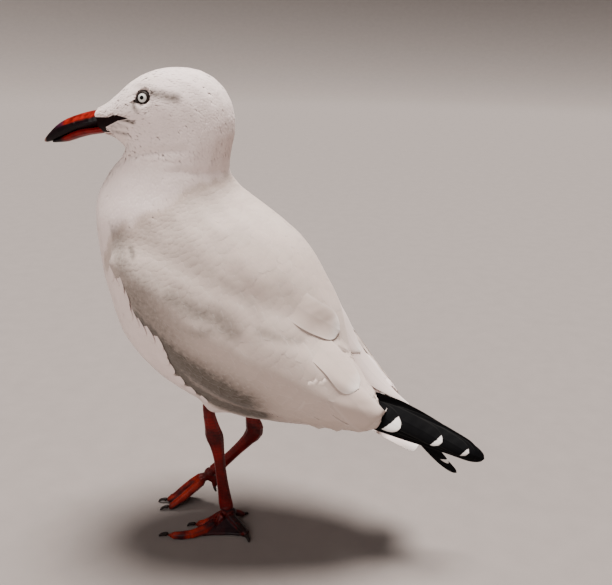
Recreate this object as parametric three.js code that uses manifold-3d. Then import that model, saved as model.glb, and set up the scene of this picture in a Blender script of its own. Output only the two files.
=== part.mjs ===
// A silver gull in mid-stride, life size, as a still model.
// Millimetres, +Z up. The bird faces -X and its left side is towards -Y.
// The floor is z = 0. The group is moved at the end so that its box is centred on the origin.

import * as THREE from 'three';
import { mergeVertices } from 'three/addons/utils/BufferGeometryUtils.js';
import Module from 'manifold-3d';

const wasm = await Module();
wasm.setup();

// ---------- driving dimensions ----------

const GAP = 0.3; // clearance between neighbouring solids
const LEFT = -1;
const RIGHT = 1;

const BILL_TIP = [-101, 0, 241.4];
const EYE_AT = [-33.4, -13.8, 267.4]; // left eye, the right one mirrors it
const EYE_RADIUS = 4.9;

const TARSUS_RADIUS = 2.6; // across, at mid length
const ROOT_SIZES = [[3.4, 4.0], [3.0, 3.4]]; // of the knot that the toes leave from, across and fore and aft
const WEB = { thickness: 1.1, sag: 0.6, start: 0.06, reach: 0.9 };
const WEB_HOLLOW = { inner: 0.28, outer: 0.22 }; // how deep the front edge is hollowed, as a share of its reach
const SOLE = 0; // every contact is a flat at this level
const FINENESS = 0.1; // details smaller than this are left out of the solids

// Rows and sides of each loft.
const GRID = {
  body: [38, 20],
  tail: [14, 18],
  wing: [18, 14],
  fan: [14, 10],
  bill: [14, 10],
  eye: [10, 14],
  thigh: [9, 12],
  tarsus: [16, 8],
  knot: [5, 10],
  toe: [7, 6],
  claw: [5, 6],
  web: [5, 4],
};

const COLOURS = {
  head: 0xd9d3ce,
  neck: 0xd3c9c4,
  trunk: 0xd6d0cb,
  tail: 0xe2dfdc,
  wing: 0xbdb4ae,
  primaries: 0x0d0d0e,
  thigh: 0xcfc8c2,
  leg: 0x8a1d16,
  claw: 0x16100f,
  bill: 0x96201a,
  eye: 0xe8e6e0,
};

// ---------- solids ----------

function material(name, roughness = 0.8) {
  return new THREE.MeshStandardMaterial({ color: COLOURS[name], roughness, metalness: 0 });
}

function positionsOnly(geometry) {
  const bare = geometry.clone();
  bare.deleteAttribute('normal');
  bare.deleteAttribute('uv');
  return mergeVertices(bare, 1e-4);
}

function signedVolume(position, index) {
  const [a, b, c] = [new THREE.Vector3(), new THREE.Vector3(), new THREE.Vector3()];
  let sum = 0;
  for (let i = 0; i < index.count; i += 3) {
    a.fromBufferAttribute(position, index.getX(i));
    b.fromBufferAttribute(position, index.getX(i + 1));
    c.fromBufferAttribute(position, index.getX(i + 2));
    sum += a.dot(b.cross(c)) / 6;
  }
  return sum;
}

// A closed shape as a solid, with its skin moved outwards by grow.
function solid(geometry, grow = 0) {
  const bare = positionsOnly(geometry);
  const flip = signedVolume(bare.attributes.position, bare.index) < 0;
  if (grow > 0) {
    bare.computeVertexNormals();
    const { position, normal } = bare.attributes;
    const step = flip ? -grow : grow;
    for (let i = 0; i < position.count; i++) {
      position.setXYZ(
        i,
        position.getX(i) + step * normal.getX(i),
        position.getY(i) + step * normal.getY(i),
        position.getZ(i) + step * normal.getZ(i),
      );
    }
  }
  const triangles = Uint32Array.from(bare.index.array);
  if (flip) {
    for (let i = 0; i < triangles.length; i += 3) {
      [triangles[i], triangles[i + 1]] = [triangles[i + 1], triangles[i]];
    }
  }
  const vertices = Float32Array.from(bare.attributes.position.array);
  const mesh = new wasm.Mesh({ numProp: 3, vertProperties: vertices, triVerts: triangles });
  return new wasm.Manifold(mesh);
}

function largestPiece(body) {
  const pieces = body.decompose();
  pieces.sort((a, b) => b.volume() - a.volume());
  return pieces[0];
}

function geometryOf(body) {
  const mesh = body.getMesh();
  const geometry = new THREE.BufferGeometry();
  const position = new THREE.BufferAttribute(new Float32Array(mesh.vertProperties), 3);
  geometry.setAttribute('position', position);
  geometry.setIndex(new THREE.BufferAttribute(new Uint32Array(mesh.triVerts), 1));
  geometry.computeVertexNormals();
  return geometry;
}

// ---------- lofts ----------

// A sphere's rows of vertices are moved to the places that pointAt(along, turn) gives.
// along runs 0 to 1 between the poles and turn runs 0 to 2 pi round each row.
function loft(rows, sides, pointAt) {
  const geometry = new THREE.SphereGeometry(1, sides, rows);
  const position = geometry.attributes.position;
  for (let i = 0; i < position.count; i++) {
    const row = Math.floor(i / (sides + 1));
    const side = (i % (sides + 1)) % sides;
    const pole = row === 0 || row === rows;
    const turn = pole ? 0 : (side / sides) * 2 * Math.PI;
    const point = pointAt(row / rows, turn, pole);
    position.setXYZ(i, point.x, point.y, point.z);
  }
  return geometry;
}

function smoothValues(list) {
  const curve = new THREE.CatmullRomCurve3(list.map((v) => new THREE.Vector3(...v)), false, 'centripetal');
  const steps = list.length - 1;
  // getPoint spaces the list's entries evenly, so a value belongs to its rib.
  return (along) => curve.getPoint(Math.min(along * steps, steps) / steps);
}

// A rib is [top x, top z, bottom x, bottom z, half width, skew]. A positive skew widens its top.
function ribbedBody(ribs, rows, sides) {
  const top = smoothValues(ribs.map((r) => [r[0], 0, r[1]]));
  const bottom = smoothValues(ribs.map((r) => [r[2], 0, r[3]]));
  const shape = smoothValues(ribs.map((r) => [r[4], r[5] ?? 0, 0]));
  const spine = (along) => top(along).add(bottom(along)).multiplyScalar(0.5);
  return loft(rows, sides, (along, turn, pole) => {
    if (pole) return spine(along);
    const high = top(along);
    const across = shape(along);
    const middle = spine(along);
    const width = across.x * (1 + across.y * Math.cos(turn));
    middle.addScaledVector(high.sub(middle), Math.cos(turn));
    middle.y += width * Math.sin(turn);
    return middle;
  });
}

// A blade is a curved leaf. Each rib is [upper, outer, lower, thickness], and the section
// bows from upper through outer to lower.
function blade(ribs, rows, sides, side) {
  const upper = smoothValues(ribs.map((r) => r[0]));
  const outer = smoothValues(ribs.map((r) => r[1]));
  const lower = smoothValues(ribs.map((r) => r[2]));
  const thick = smoothValues(ribs.map((r) => [r[3], 0, 0]));
  return loft(rows, sides, (along, turn, pole) => {
    if (pole) return outer(along);
    const [a, b, c] = [upper(along), outer(along), lower(along)];
    const reach = 0.5 - 0.5 * Math.cos(turn);
    const bow = b.clone().multiplyScalar(2).sub(a.clone().add(c).multiplyScalar(0.5));
    const point = a.clone().multiplyScalar((1 - reach) ** 2);
    point.addScaledVector(bow, 2 * reach * (1 - reach));
    point.addScaledVector(c, reach ** 2);
    const chord = c.clone().sub(a).normalize();
    const facing = new THREE.Vector3(0, side, 0).addScaledVector(chord, -side * chord.y).normalize();
    point.addScaledVector(facing, Math.sin(turn) * (thick(along).x / 2));
    return point;
  });
}

// A limb is a round tube through [point, radius, depth] stations. Its depth is its half size fore and aft.
function limb(stations, rows, sides) {
  const centre = smoothValues(stations.map((s) => s[0]));
  const size = smoothValues(stations.map((s) => [s[1], s[2] ?? s[1], 0]));
  const heading = new THREE.Vector3();
  const ahead = new THREE.Vector3();
  const across = new THREE.Vector3();
  return loft(rows, sides, (along, turn, pole) => {
    if (pole) return centre(along);
    const here = centre(along);
    heading.copy(centre(Math.min(along + 0.01, 1))).sub(centre(Math.max(along - 0.01, 0))).normalize();
    const guide = Math.abs(heading.y) > 0.8 ? new THREE.Vector3(1, 0, 0) : new THREE.Vector3(0, 1, 0);
    ahead.crossVectors(guide, heading).normalize();
    across.crossVectors(heading, ahead);
    here.addScaledVector(ahead, size(along).y * Math.cos(turn));
    here.addScaledVector(across, size(along).x * Math.sin(turn));
    return here;
  });
}

// A thin sheet stretched between two toes, with a hollowed front edge.
function web(firstToe, secondToe, hollow) {
  const [rows, columns] = GRID.web;
  const geometry = new THREE.BoxGeometry(1, 1, 1, rows, columns, 1);
  const first = smoothValues(firstToe.map((s) => s[0]));
  const second = smoothValues(secondToe.map((s) => s[0]));
  const position = geometry.attributes.position;
  for (let i = 0; i < position.count; i++) {
    const out = position.getX(i) + 0.5;
    const over = position.getY(i) + 0.5;
    const face = position.getZ(i);
    const length = WEB.reach * (1 - hollow * Math.sin(over * Math.PI));
    const along = WEB.start + (length - WEB.start) * out;
    const point = first(along).lerp(second(along), over);
    point.z += face * WEB.thickness - WEB.sag;
    position.setXYZ(i, point.x, point.y, point.z);
  }
  return geometry;
}

// ---------- cutting ----------

const FAR = 900; // larger than the bird

// Everything beyond a plane through a point, on the side that the normal points to.
function beyond(point, normal, offset = 0) {
  const box = new THREE.BoxGeometry(FAR, FAR, FAR);
  const facing = new THREE.Vector3(...normal).normalize();
  box.translate(0, 0, FAR / 2 + offset);
  box.applyQuaternion(new THREE.Quaternion().setFromUnitVectors(new THREE.Vector3(0, 0, 1), facing));
  box.translate(...point);
  return solid(box);
}

function flipped(normal) {
  return normal.map((v) => -v);
}

// ---------- head, neck and trunk ----------

// Ribs fan from the face, round the throat, down the neck and back to the root of the tail.
const BODY_RIBS = [
  [-70.5, 256, -69.5, 249, 2.5],
  [-69.2, 257.8, -64.4, 246.4, 7.2],
  [-61.4, 262.6, -59.0, 245.6, 11.2, -0.1],
  [-53.2, 268.8, -54.8, 243.7, 14.4, -0.1],
  [-44.0, 276.2, -52.0, 241.2, 17.6, -0.08],
  [-32.4, 281.4, -49.6, 238.6, 19.6, -0.06],
  [-19.0, 283.2, -49.4, 236.2, 20.8, -0.04],
  [-5.5, 281.2, -53.4, 232.2, 21.6],
  [5.0, 274.4, -58.4, 228.2, 22.2],
  [11.2, 263.0, -62.4, 223.6, 23.0],
  [12.2, 250.0, -65.8, 217.8, 24.6],
  [9.2, 237.2, -68.8, 211.8, 27.0],
  [8.4, 224.0, -70.8, 204.4, 31.0],
  [18.8, 212.6, -71.2, 194.4, 36.0],
  [32.4, 203.2, -69.8, 182.8, 40.5],
  [46.4, 192.4, -68.8, 168.6, 43.5],
  [57.8, 178.0, -65.6, 152.2, 45.0],
  [66.8, 161.6, -60.2, 130.4, 44.6],
  [74.2, 146.2, -45.2, 108.8, 42.4],
  [79.4, 132.0, -22.4, 92.4, 38.0],
  [83.0, 118.6, 2.6, 80.0, 32.0],
  [89.0, 106.6, 32.0, 75.6, 25.0],
  [95.6, 96.0, 60.0, 74.0, 18.5],
  [100.0, 90.0, 80.0, 72.5, 14.0],
  [102.0, 83.0, 94.0, 75.0, 6.0],
];

const NAPE_CUT = { at: [-22, 0, 234], normal: [-0.06, 0, 1] };
const SHOULDER_CUT = { at: [-32, 0, 214], normal: [-0.24, 0, 1] };

// ---------- tail ----------

const TAIL_RIBS = [
  [[74, -9, 86], [78, 0, 90], [74, 9, 86], 7],
  [[84, -12, 81], [86, 0, 86], [84, 12, 81], 7],
  [[98, -15, 74.5], [98, 0, 79], [98, 15, 74.5], 5],
  [[111, -17, 69.5], [111, 0, 73], [111, 17, 69.5], 3],
  [[119, -18.5, 66], [120, 0, 69], [119, 18.5, 66], 1.6],
  [[122.6, -15, 64.6], [123.6, 0, 67.6], [122.6, 15, 64.6], 0.9],
];

function tailBlade() {
  const upper = smoothValues(TAIL_RIBS.map((r) => r[0]));
  const middle = smoothValues(TAIL_RIBS.map((r) => r[1]));
  const lower = smoothValues(TAIL_RIBS.map((r) => r[2]));
  const thick = smoothValues(TAIL_RIBS.map((r) => [r[3], 0, 0]));
  return loft(...GRID.tail, (along, turn, pole) => {
    if (pole) return middle(along);
    const [a, b, c] = [upper(along), middle(along), lower(along)];
    const across = (c.y - a.y) / 2;
    const arch = b.z - a.z;
    const reach = -Math.cos(turn);
    const half = thick(along).x / 2;
    const point = b.clone();
    point.x = a.x + (b.x - a.x) * (1 - reach ** 2);
    point.y = across * reach;
    point.z = a.z + arch * (1 - reach ** 2) + half * Math.sin(turn);
    return point;
  });
}

// ---------- wings ----------

function mirrored(ribs, side) {
  const flip = (p) => [p[0], -side * p[1], p[2]];
  return ribs.map((r) => [flip(r[0]), flip(r[1]), flip(r[2]), r[3]]);
}

// The folded arm of the wing, from the wrist to the ends of the tertials, as a left wing.
const WING_FRONT = [
  [[-50, -31, 185], [-55, -34, 181], [-50, -32, 176], 4],
  [[-38, -27, 195], [-46, -39.5, 181], [-45, -35, 166], 8],
  [[-19, -17, 202], [-27, -44.5, 176], [-37, -38, 150], 10],
  [[8, -11, 200], [-6, -46.5, 163], [-22, -38, 127], 10.5],
  [[33, -8, 187], [18, -46.5, 148], [-2, -37, 108], 10.5],
  [[52, -6, 166], [42, -44, 133], [25, -35, 96], 9.5],
];
const LEFT_WING = [
  ...WING_FRONT,
  [[67, -9, 143], [64, -39.5, 118], [52, -32, 88.5], 8],
  [[79, -12, 127], [82, -34.5, 107], [76, -30, 84.5], 6],
  [[88.5, -15, 112.5], [95, -30.5, 101], [93, -28.5, 84.5], 4],
  [[98.5, -21, 102.5], [102.5, -28, 97.5], [103, -28, 90.5], 2.2],
];
// The right wing lies further in behind the rump, because its hand passes under the left one.
const RIGHT_WING = [
  ...WING_FRONT,
  [[70, -3, 146], [63, -38.5, 118], [52, -31, 90], 8],
  [[82, 0, 129.5], [82, -30, 105], [75, -28, 86], 6],
  [[96, 0, 107.5], [97, -22, 96], [92, -24, 84], 4],
  [[112, -1, 91], [110, -12, 87], [105, -20, 82], 2],
];

// The closed fan of flight feathers of the left hand, with its tip above the tail.
const LEFT_PRIMARIES = [
  [[84, -18, 103], [84, -26, 97], [84, -29, 91], 2],
  [[94, -12, 100.5], [95, -25, 92], [94, -29, 83.5], 3.4],
  [[108, -8, 96], [108, -22, 87], [108, -27, 79], 3.6],
  [[124, -7, 88.2], [124, -18, 81], [124, -24, 73.4], 3.2],
  [[140, -9, 80.2], [140, -17, 74], [140, -21, 68.2], 2.6],
  [[153, -13, 73.4], [153, -17, 69.8], [153, -19, 66.0], 1.8],
  [[160.5, -17, 67.0], [161, -18, 66.0], [160, -18, 64.6], 1],
];

// The right hand's fan passes under the left one and shows again on the left side.
const RIGHT_PRIMARIES = [
  [[82, 18, 98], [82, 23, 93], [82, 25, 87], 2],
  [[94, 10, 91.5], [94, 18, 87], [93, 22, 80.5], 3],
  [[108, 1, 83], [109, 9, 79.5], [108, 15, 75.5], 2.6],
  [[124, -9, 73.5], [124, -3, 71.5], [123, 4, 69.0], 2.2],
  [[136, -16, 63.5], [136, -12, 61.5], [135, -8, 59.5], 1.8],
  [[142.6, -20, 57.4], [143, -19, 56.6], [142.2, -18, 55.8], 1],
];

// ---------- legs ----------

const LEFT_THIGH = [
  [[10, -20.0, 112], 17, 20],
  [[6, -18.0, 100], 13, 16],
  [[0, -15.0, 91], 8, 10.5],
  [[-4.4, -13.0, 84.5], 4.6, 6],
  [[-6.2, -12.2, 81.5], 2.4, 3.2],
];
const LEFT_TARSUS = [
  [[-6.6, -12.0, 81.6], 1.6, 1.8],
  [[-6.4, -11.6, 78.5], 2.9, 3.5],
  [[-5.4, -10.4, 70.5], 3.2, 4.2],
  [[-4.2, -9.6, 62.5], 3.7, 5.6],
  [[-3.0, -9.2, 56.0], 3.2, 4.4],
  [[-1.9, -8.8, 46.0], TARSUS_RADIUS, 3.3],
  [[-1.0, -8.6, 34.0], TARSUS_RADIUS, 3.3],
  [[0.2, -8.4, 22.0], 2.7, 3.6],
  [[1.2, -8.2, 12.0], 3.2, 4.4],
  [[1.4, -8.2, 9.2], 3.0, 4.0],
];
const LEFT_ROOT = [[1.4, -8.2, 9.0], [1.4, -8.4, 2.4]];
const LEFT_TOES = {
  middle: [
    [[1.4, -8.4, 6.6], 3.4],
    [[-2.8, -16.0, 6.0], 3.0],
    [[-9.0, -23.4, 3.4], 2.8],
    [[-17.0, -28.2, 2.0], 2.5],
    [[-25.0, -30.0, 1.7], 2.3],
    [[-31.4, -30.4, 1.4], 1.9],
  ],
  inner: [
    [[1.2, -8.2, 6.6], 3.2],
    [[-4.0, -12.0, 5.0], 2.6],
    [[-10.5, -15.2, 2.2], 2.4],
    [[-17.4, -16.8, 1.3], 1.8],
  ],
  outer: [
    [[1.8, -8.8, 6.6], 3.4],
    [[6.8, -12.6, 4.4], 3.0],
    [[12.0, -16.6, 2.4], 2.8],
    [[15.8, -20.4, 1.8], 2.5],
    [[18.0, -23.2, 1.4], 1.9],
  ],
  hind: [
    [[3.0, -8.0, 7.0], 2.0],
    [[6.8, -5.4, 5.4], 1.9],
    [[9.8, -2.6, 2.8], 1.6],
    [[11.0, -1.2, 1.0], 1.3],
  ],
};
const LEFT_CLAWS = {
  middle: [[[-31.8, -30.4, 1.6], 1.35], [[-34.6, -30.4, 1.8], 1.0], [[-37.4, -30.2, -0.3], 0.35]],
  inner: [[[-17.8, -16.9, 1.5], 1.25], [[-20.4, -17.2, 1.7], 0.9], [[-22.8, -17.4, -0.3], 0.35]],
  outer: [[[18.2, -23.7, 1.5], 1.35], [[19.4, -25.8, 1.8], 1.0], [[20.4, -27.8, -0.3], 0.35]],
  hind: [[[11.2, -0.7, 1.1], 1.1], [[12.2, 0.8, 1.2], 0.8], [[13.2, 2.3, -0.3], 0.35]],
};

const RIGHT_THIGH = [
  [[16, 24.0, 112], 17, 20],
  [[17, 22.0, 98], 12, 15],
  [[16, 18.5, 86], 7.4, 9.5],
  [[14.6, 16.2, 75], 4.2, 5.2],
  [[13.6, 15.0, 69.5], 2.4, 3.0],
];
const RIGHT_TARSUS = [
  [[13.4, 15.0, 69.6], 1.4, 1.6],
  [[13.6, 14.8, 66.0], 2.8, 3.4],
  [[15.4, 14.6, 59.8], 3.6, 5.2],
  [[15.8, 14.6, 54.6], 3.6, 5.6],
  [[11.2, 14.6, 48.0], 2.8, 4.0],
  [[4.0, 14.4, 40.0], TARSUS_RADIUS, 3.3],
  [[-4.0, 14.2, 31.4], TARSUS_RADIUS, 3.3],
  [[-11.0, 14.0, 24.4], 2.9, 3.8],
  [[-13.6, 14.0, 22.0], 2.8, 3.8],
];
const RIGHT_ROOT = [[-13.8, 14.0, 21.8], [-17.0, 14.0, 19.0]];
const RIGHT_TOES = {
  middle: [
    [[-16.6, 14.2, 19.6], 3.3],
    [[-23.6, 12.4, 16.0], 2.8],
    [[-31.0, 10.2, 10.4], 2.5],
    [[-38.2, 8.3, 3.8], 2.4],
    [[-41.6, 7.5, 1.7], 2.2],
    [[-44.2, 6.9, 1.3], 1.8],
  ],
  inner: [
    [[-16.4, 13.2, 19.0], 3.2],
    [[-22.6, 8.8, 14.0], 2.7],
    [[-29.6, 4.2, 8.2], 2.4],
    [[-35.6, 1.0, 3.6], 2.2],
    [[-38.4, -0.1, 1.6], 2.1],
    [[-40.4, -0.9, 1.3], 1.8],
  ],
  outer: [
    [[-16.6, 15.0, 19.4], 3.2],
    [[-22.8, 16.0, 14.6], 2.7],
    [[-29.6, 15.4, 8.6], 2.4],
    [[-34.8, 14.4, 3.6], 2.2],
    [[-37.4, 13.7, 1.6], 2.1],
    [[-39.4, 13.1, 1.3], 1.8],
  ],
  hind: [
    [[-13.6, 13.6, 19.4], 2.0],
    [[-12.4, 13.0, 16.0], 1.8],
    [[-12.0, 12.6, 13.0], 1.4],
    [[-12.0, 12.4, 11.4], 1.1],
  ],
};
const RIGHT_CLAWS = {
  middle: [[[-44.6, 6.8, 1.5], 1.3], [[-47.2, 6.4, 1.8], 1.0], [[-50.0, 6.2, -0.3], 0.35]],
  inner: [[[-40.8, -1.1, 1.4], 1.25], [[-43.2, -2.2, 1.7], 0.95], [[-45.6, -3.2, -0.3], 0.35]],
  outer: [[[-39.8, 13.0, 1.4], 1.25], [[-41.9, 12.6, 1.7], 0.95], [[-44.2, 12.2, -0.3], 0.35]],
  hind: [[[-12.0, 12.3, 10.9], 1.0], [[-11.6, 12.2, 9.2], 0.75], [[-10.8, 12.2, 7.8], 0.35]],
};

// ---------- bill ----------

// Ribs of one mandible are [x, top z, bottom z, half width, skew].
const UPPER_BILL = [
  [-60.0, 258.6, 252.6, 5.6],
  [-66.0, 259.4, 250.6, 6.6, -0.15],
  [-72.0, 258.4, 249.6, 6.2, -0.3],
  [-79.0, 256.5, 248.2, 5.2, -0.35],
  [-86.0, 254.0, 245.3, 4.4, -0.35],
  [-92.0, 250.6, 242.9, 3.6, -0.3],
  [-96.6, 246.6, 241.4, 2.8, -0.2],
  [-99.6, 243.4, 240.8, 1.7],
  [BILL_TIP[0], BILL_TIP[2] + 0.2, BILL_TIP[2] - 0.4, 0.5],
];
const LOWER_BILL = [
  [-60.0, 252.0, 247.4, 5.2],
  [-66.0, 250.4, 246.4, 6.0, 0.2],
  [-72.0, 249.6, 245.5, 5.6, 0.3],
  [-79.0, 248.2, 243.7, 4.7, 0.3],
  [-86.0, 245.4, 241.5, 3.9, 0.3],
  [-91.5, 243.0, 240.9, 2.9, 0.2],
  [-94.6, 241.9, 240.7, 1.7],
  [-96.0, 241.4, 240.8, 0.6],
];

function mandible(ribs) {
  return ribbedBody(ribs.map((r) => [r[0], r[1], r[0], r[2], r[3], r[4] ?? 0]), ...GRID.bill);
}

// ---------- assembly ----------

const bird = new THREE.Group();

function addNode(name, body, colour, roughness) {
  const tidied = largestPiece(body).simplify(FINENESS);
  const mesh = new THREE.Mesh(geometryOf(tidied), material(colour, roughness));
  mesh.name = name;
  bird.add(mesh);
}

function eyeball(side) {
  const [rows, sides] = GRID.eye;
  const ball = new THREE.SphereGeometry(EYE_RADIUS, sides, rows);
  ball.translate(EYE_AT[0], -side * EYE_AT[1], EYE_AT[2]);
  return ball;
}

// The body less each of the shapes, with a gap all round them.
function clearOf(body, shapes) {
  return shapes.reduce((rest, shape) => rest.subtract(solid(shape, GAP)), body);
}

function addBillAndEyes(bill, eyes) {
  addNode('bill_upper', solid(bill.upper), 'bill', 0.35);
  addNode('bill_lower', clearOf(solid(bill.lower), [bill.upper]), 'bill', 0.35);
  addNode('eye_left', solid(eyes.left), 'eye', 0.1);
  addNode('eye_right', solid(eyes.right), 'eye', 0.1);
}

function addBody(body, tail, neighbours) {
  const whole = clearOf(solid(body), [...neighbours, tail]);
  const half = GAP / 2;
  const head = whole.intersect(beyond(NAPE_CUT.at, NAPE_CUT.normal, half));
  const below = whole.intersect(beyond(NAPE_CUT.at, flipped(NAPE_CUT.normal), half));
  const neck = below.intersect(beyond(SHOULDER_CUT.at, SHOULDER_CUT.normal, half));
  const trunk = below.intersect(beyond(SHOULDER_CUT.at, flipped(SHOULDER_CUT.normal), half));
  addNode('head', head, 'head');
  addNode('neck', neck, 'neck');
  addNode('trunk', trunk, 'trunk');
  addNode('tail', solid(tail), 'tail');
}

function addWing(name, side, ribs, fan, neighbours) {
  const arm = blade(mirrored(ribs, side), ...GRID.wing, side);
  addNode(`wing_${name}`, clearOf(solid(arm), [...neighbours, fan]), 'wing');
  addNode(`primaries_${name}`, clearOf(solid(fan), neighbours), 'primaries', 0.55);
}

function foot(root, toes) {
  const knot = root.map((point, k) => [point, ...ROOT_SIZES[k]]);
  let whole = solid(limb(knot, ...GRID.knot));
  for (const toe of Object.values(toes)) whole = whole.add(solid(limb(toe, ...GRID.toe)));
  whole = whole.add(solid(web(toes.inner, toes.middle, WEB_HOLLOW.inner)));
  whole = whole.add(solid(web(toes.middle, toes.outer, WEB_HOLLOW.outer)));
  return whole;
}

function addLeg(name, thigh, tarsus, root, toes, claws) {
  const bareLeg = limb(tarsus, ...GRID.tarsus);
  const floor = beyond([0, 0, SOLE], [0, 0, 1]);
  const clawShapes = Object.entries(claws).map(([toe, claw]) => [toe, limb(claw, ...GRID.claw)]);
  const cutters = clawShapes.map(([, shape]) => shape);
  addNode(`thigh_${name}`, clearOf(solid(thigh), [bareLeg]), 'thigh');
  addNode(`tarsus_${name}`, solid(bareLeg), 'leg', 0.5);
  addNode(`foot_${name}`, clearOf(foot(root, toes).intersect(floor), [bareLeg, ...cutters]), 'leg', 0.5);
  for (const [toe, shape] of clawShapes) {
    addNode(`claw_${name}_${toe}`, solid(shape).intersect(floor), 'claw', 0.4);
  }
}

const body = ribbedBody(BODY_RIBS, ...GRID.body);
const tail = tailBlade();
const bill = { upper: mandible(UPPER_BILL), lower: mandible(LOWER_BILL) };
const eyes = { left: eyeball(LEFT), right: eyeball(RIGHT) };
const thighs = { left: limb(LEFT_THIGH, ...GRID.thigh), right: limb(RIGHT_THIGH, ...GRID.thigh) };
const fans = {
  left: blade(LEFT_PRIMARIES, ...GRID.fan, LEFT),
  right: blade(RIGHT_PRIMARIES, ...GRID.fan, RIGHT),
};

addBillAndEyes(bill, eyes);
addBody(body, tail, [bill.upper, bill.lower, eyes.left, eyes.right, thighs.left, thighs.right]);
addWing('left', LEFT, LEFT_WING, fans.left, [body, tail, thighs.left, fans.right]);
addWing('right', RIGHT, RIGHT_WING, fans.right, [body, tail, thighs.right]);
addLeg('left', thighs.left, LEFT_TARSUS, LEFT_ROOT, LEFT_TOES, LEFT_CLAWS);
addLeg('right', thighs.right, RIGHT_TARSUS, RIGHT_ROOT, RIGHT_TOES, RIGHT_CLAWS);

// The origin is under the middle of the bird's box, on the floor.
const box = new THREE.Box3().setFromObject(bird);
bird.position.set(-(box.min.x + box.max.x) / 2, -(box.min.y + box.max.y) / 2, -box.min.z);
bird.updateMatrixWorld(true);

export default bird;
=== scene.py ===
"""A silver gull in mid-stride: skin, coat, flight feathers, bill, eyes, legs and claws, in a plain studio."""

import itertools
import math

import bmesh
import bpy
import numpy as np
from mathutils import Matrix, Vector
from mathutils.bvhtree import BVHTree


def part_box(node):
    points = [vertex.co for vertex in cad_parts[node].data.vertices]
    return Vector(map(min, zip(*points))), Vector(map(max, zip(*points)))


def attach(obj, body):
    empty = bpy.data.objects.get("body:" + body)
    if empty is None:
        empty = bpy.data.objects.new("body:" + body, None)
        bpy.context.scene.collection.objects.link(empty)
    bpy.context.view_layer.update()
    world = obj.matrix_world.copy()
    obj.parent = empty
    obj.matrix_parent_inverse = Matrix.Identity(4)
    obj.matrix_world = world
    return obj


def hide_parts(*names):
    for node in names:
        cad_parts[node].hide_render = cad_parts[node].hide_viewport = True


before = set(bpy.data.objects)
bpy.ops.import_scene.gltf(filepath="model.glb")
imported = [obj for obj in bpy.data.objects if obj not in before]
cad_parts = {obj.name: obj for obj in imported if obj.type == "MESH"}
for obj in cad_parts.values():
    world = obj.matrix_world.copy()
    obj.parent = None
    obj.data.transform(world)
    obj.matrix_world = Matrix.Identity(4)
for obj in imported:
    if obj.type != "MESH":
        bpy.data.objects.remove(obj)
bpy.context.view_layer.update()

# Shapes are worked out in millimetres, in the bird's own frame: it faces -X, its left side is towards -Y,
# the floor is z = 0, and x = 0 lies BILL_REACH behind the tip of the bill.
MM = 0.001
BILL_REACH = 101.0
LEFT = -1
RIGHT = 1
SIDES = {"left": LEFT, "right": RIGHT}
FAR_OFF = 200.0  # a distance that is outside the bird whichever way a ray comes in

tip_corner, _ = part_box("bill_upper")
trunk_low, trunk_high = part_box("trunk")
HOME = np.array([tip_corner.x / MM + BILL_REACH, (trunk_low.y + trunk_high.y) / 2 / MM, 0.0])

rng = np.random.default_rng(7)


# ---------- small maths ----------

def node_box(node):
    low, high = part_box(node)
    return np.array(low) / MM - HOME, np.array(high) / MM - HOME


def centre_of(node):
    low, high = node_box(node)
    return (low + high) / 2


def smooth(low, high, value):
    t = np.clip((value - low) / (high - low), 0.0, 1.0)
    return t * t * (3 - 2 * t)


def unit(vectors):
    return vectors / np.maximum(np.linalg.norm(vectors, axis=-1, keepdims=True), 1e-9)


def line_distance(points, line):
    """Distance from each point to a chain of stretches, and how far along it the nearest place is, 0 to 1."""
    line = np.asarray(line, float)
    steps = np.linalg.norm(line[1:] - line[:-1], axis=1)
    starts = np.concatenate([[0], np.cumsum(steps)])
    best = np.full(len(points), 1e9)
    place = np.zeros(len(points))
    for k, step in enumerate(steps):
        way = (line[k + 1] - line[k]) / step
        t = np.clip((points - line[k]) @ way, 0, step)
        gap = np.linalg.norm(points - line[k] - t[:, None] * way, axis=1)
        nearer = gap < best
        best[nearer] = gap[nearer]
        place[nearer] = (starts[k] + t[nearer]) / starts[-1]
    return best, place


def inside(points, outline):
    """Signed distance to a closed outline in the side view, positive inside."""
    outline = np.asarray(outline, float)
    x, z = points[:, 0], points[:, 1]
    odd = np.zeros(len(points), bool)
    for (ax, az), (bx, bz) in zip(outline, np.roll(outline, -1, axis=0)):
        if az == bz:
            continue
        crosses = (az > z) != (bz > z)
        odd ^= crosses & (x < (bx - ax) * (z - az) / (bz - az) + ax)
    gap, _ = line_distance(points, np.vstack([outline, outline[:1]]))
    return np.where(odd, gap, -gap)


def side_view(points):
    return points[:, [0, 2]]


WAVES = 7
WAVE_HEIGHT = 3.2  # what that many waves come to where they pile up


def wobble(points, size, seed):
    """Smooth noise from a few crossed waves, about -1 to 1."""
    source = np.random.default_rng(seed)
    total = np.zeros(len(points))
    for _ in range(WAVES):
        way = unit(source.normal(size=3))
        pitch = size * source.uniform(0.7, 1.5)
        total += np.sin(points @ way * (2 * math.pi / pitch) + source.uniform(0, 6.28))
    return total / WAVE_HEIGHT


def evened(rows, rounds):
    """Rows with each eased towards its neighbours, the first and last held."""
    for _ in range(rounds):
        rows[1:-1] = (rows[:-2] + 2 * rows[1:-1] + rows[2:]) / 4
    return rows


# ---------- meshes ----------

def new_object(name, mesh):
    piece = bpy.data.objects.new(name, mesh)
    bpy.context.scene.collection.objects.link(piece)
    return piece


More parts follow.
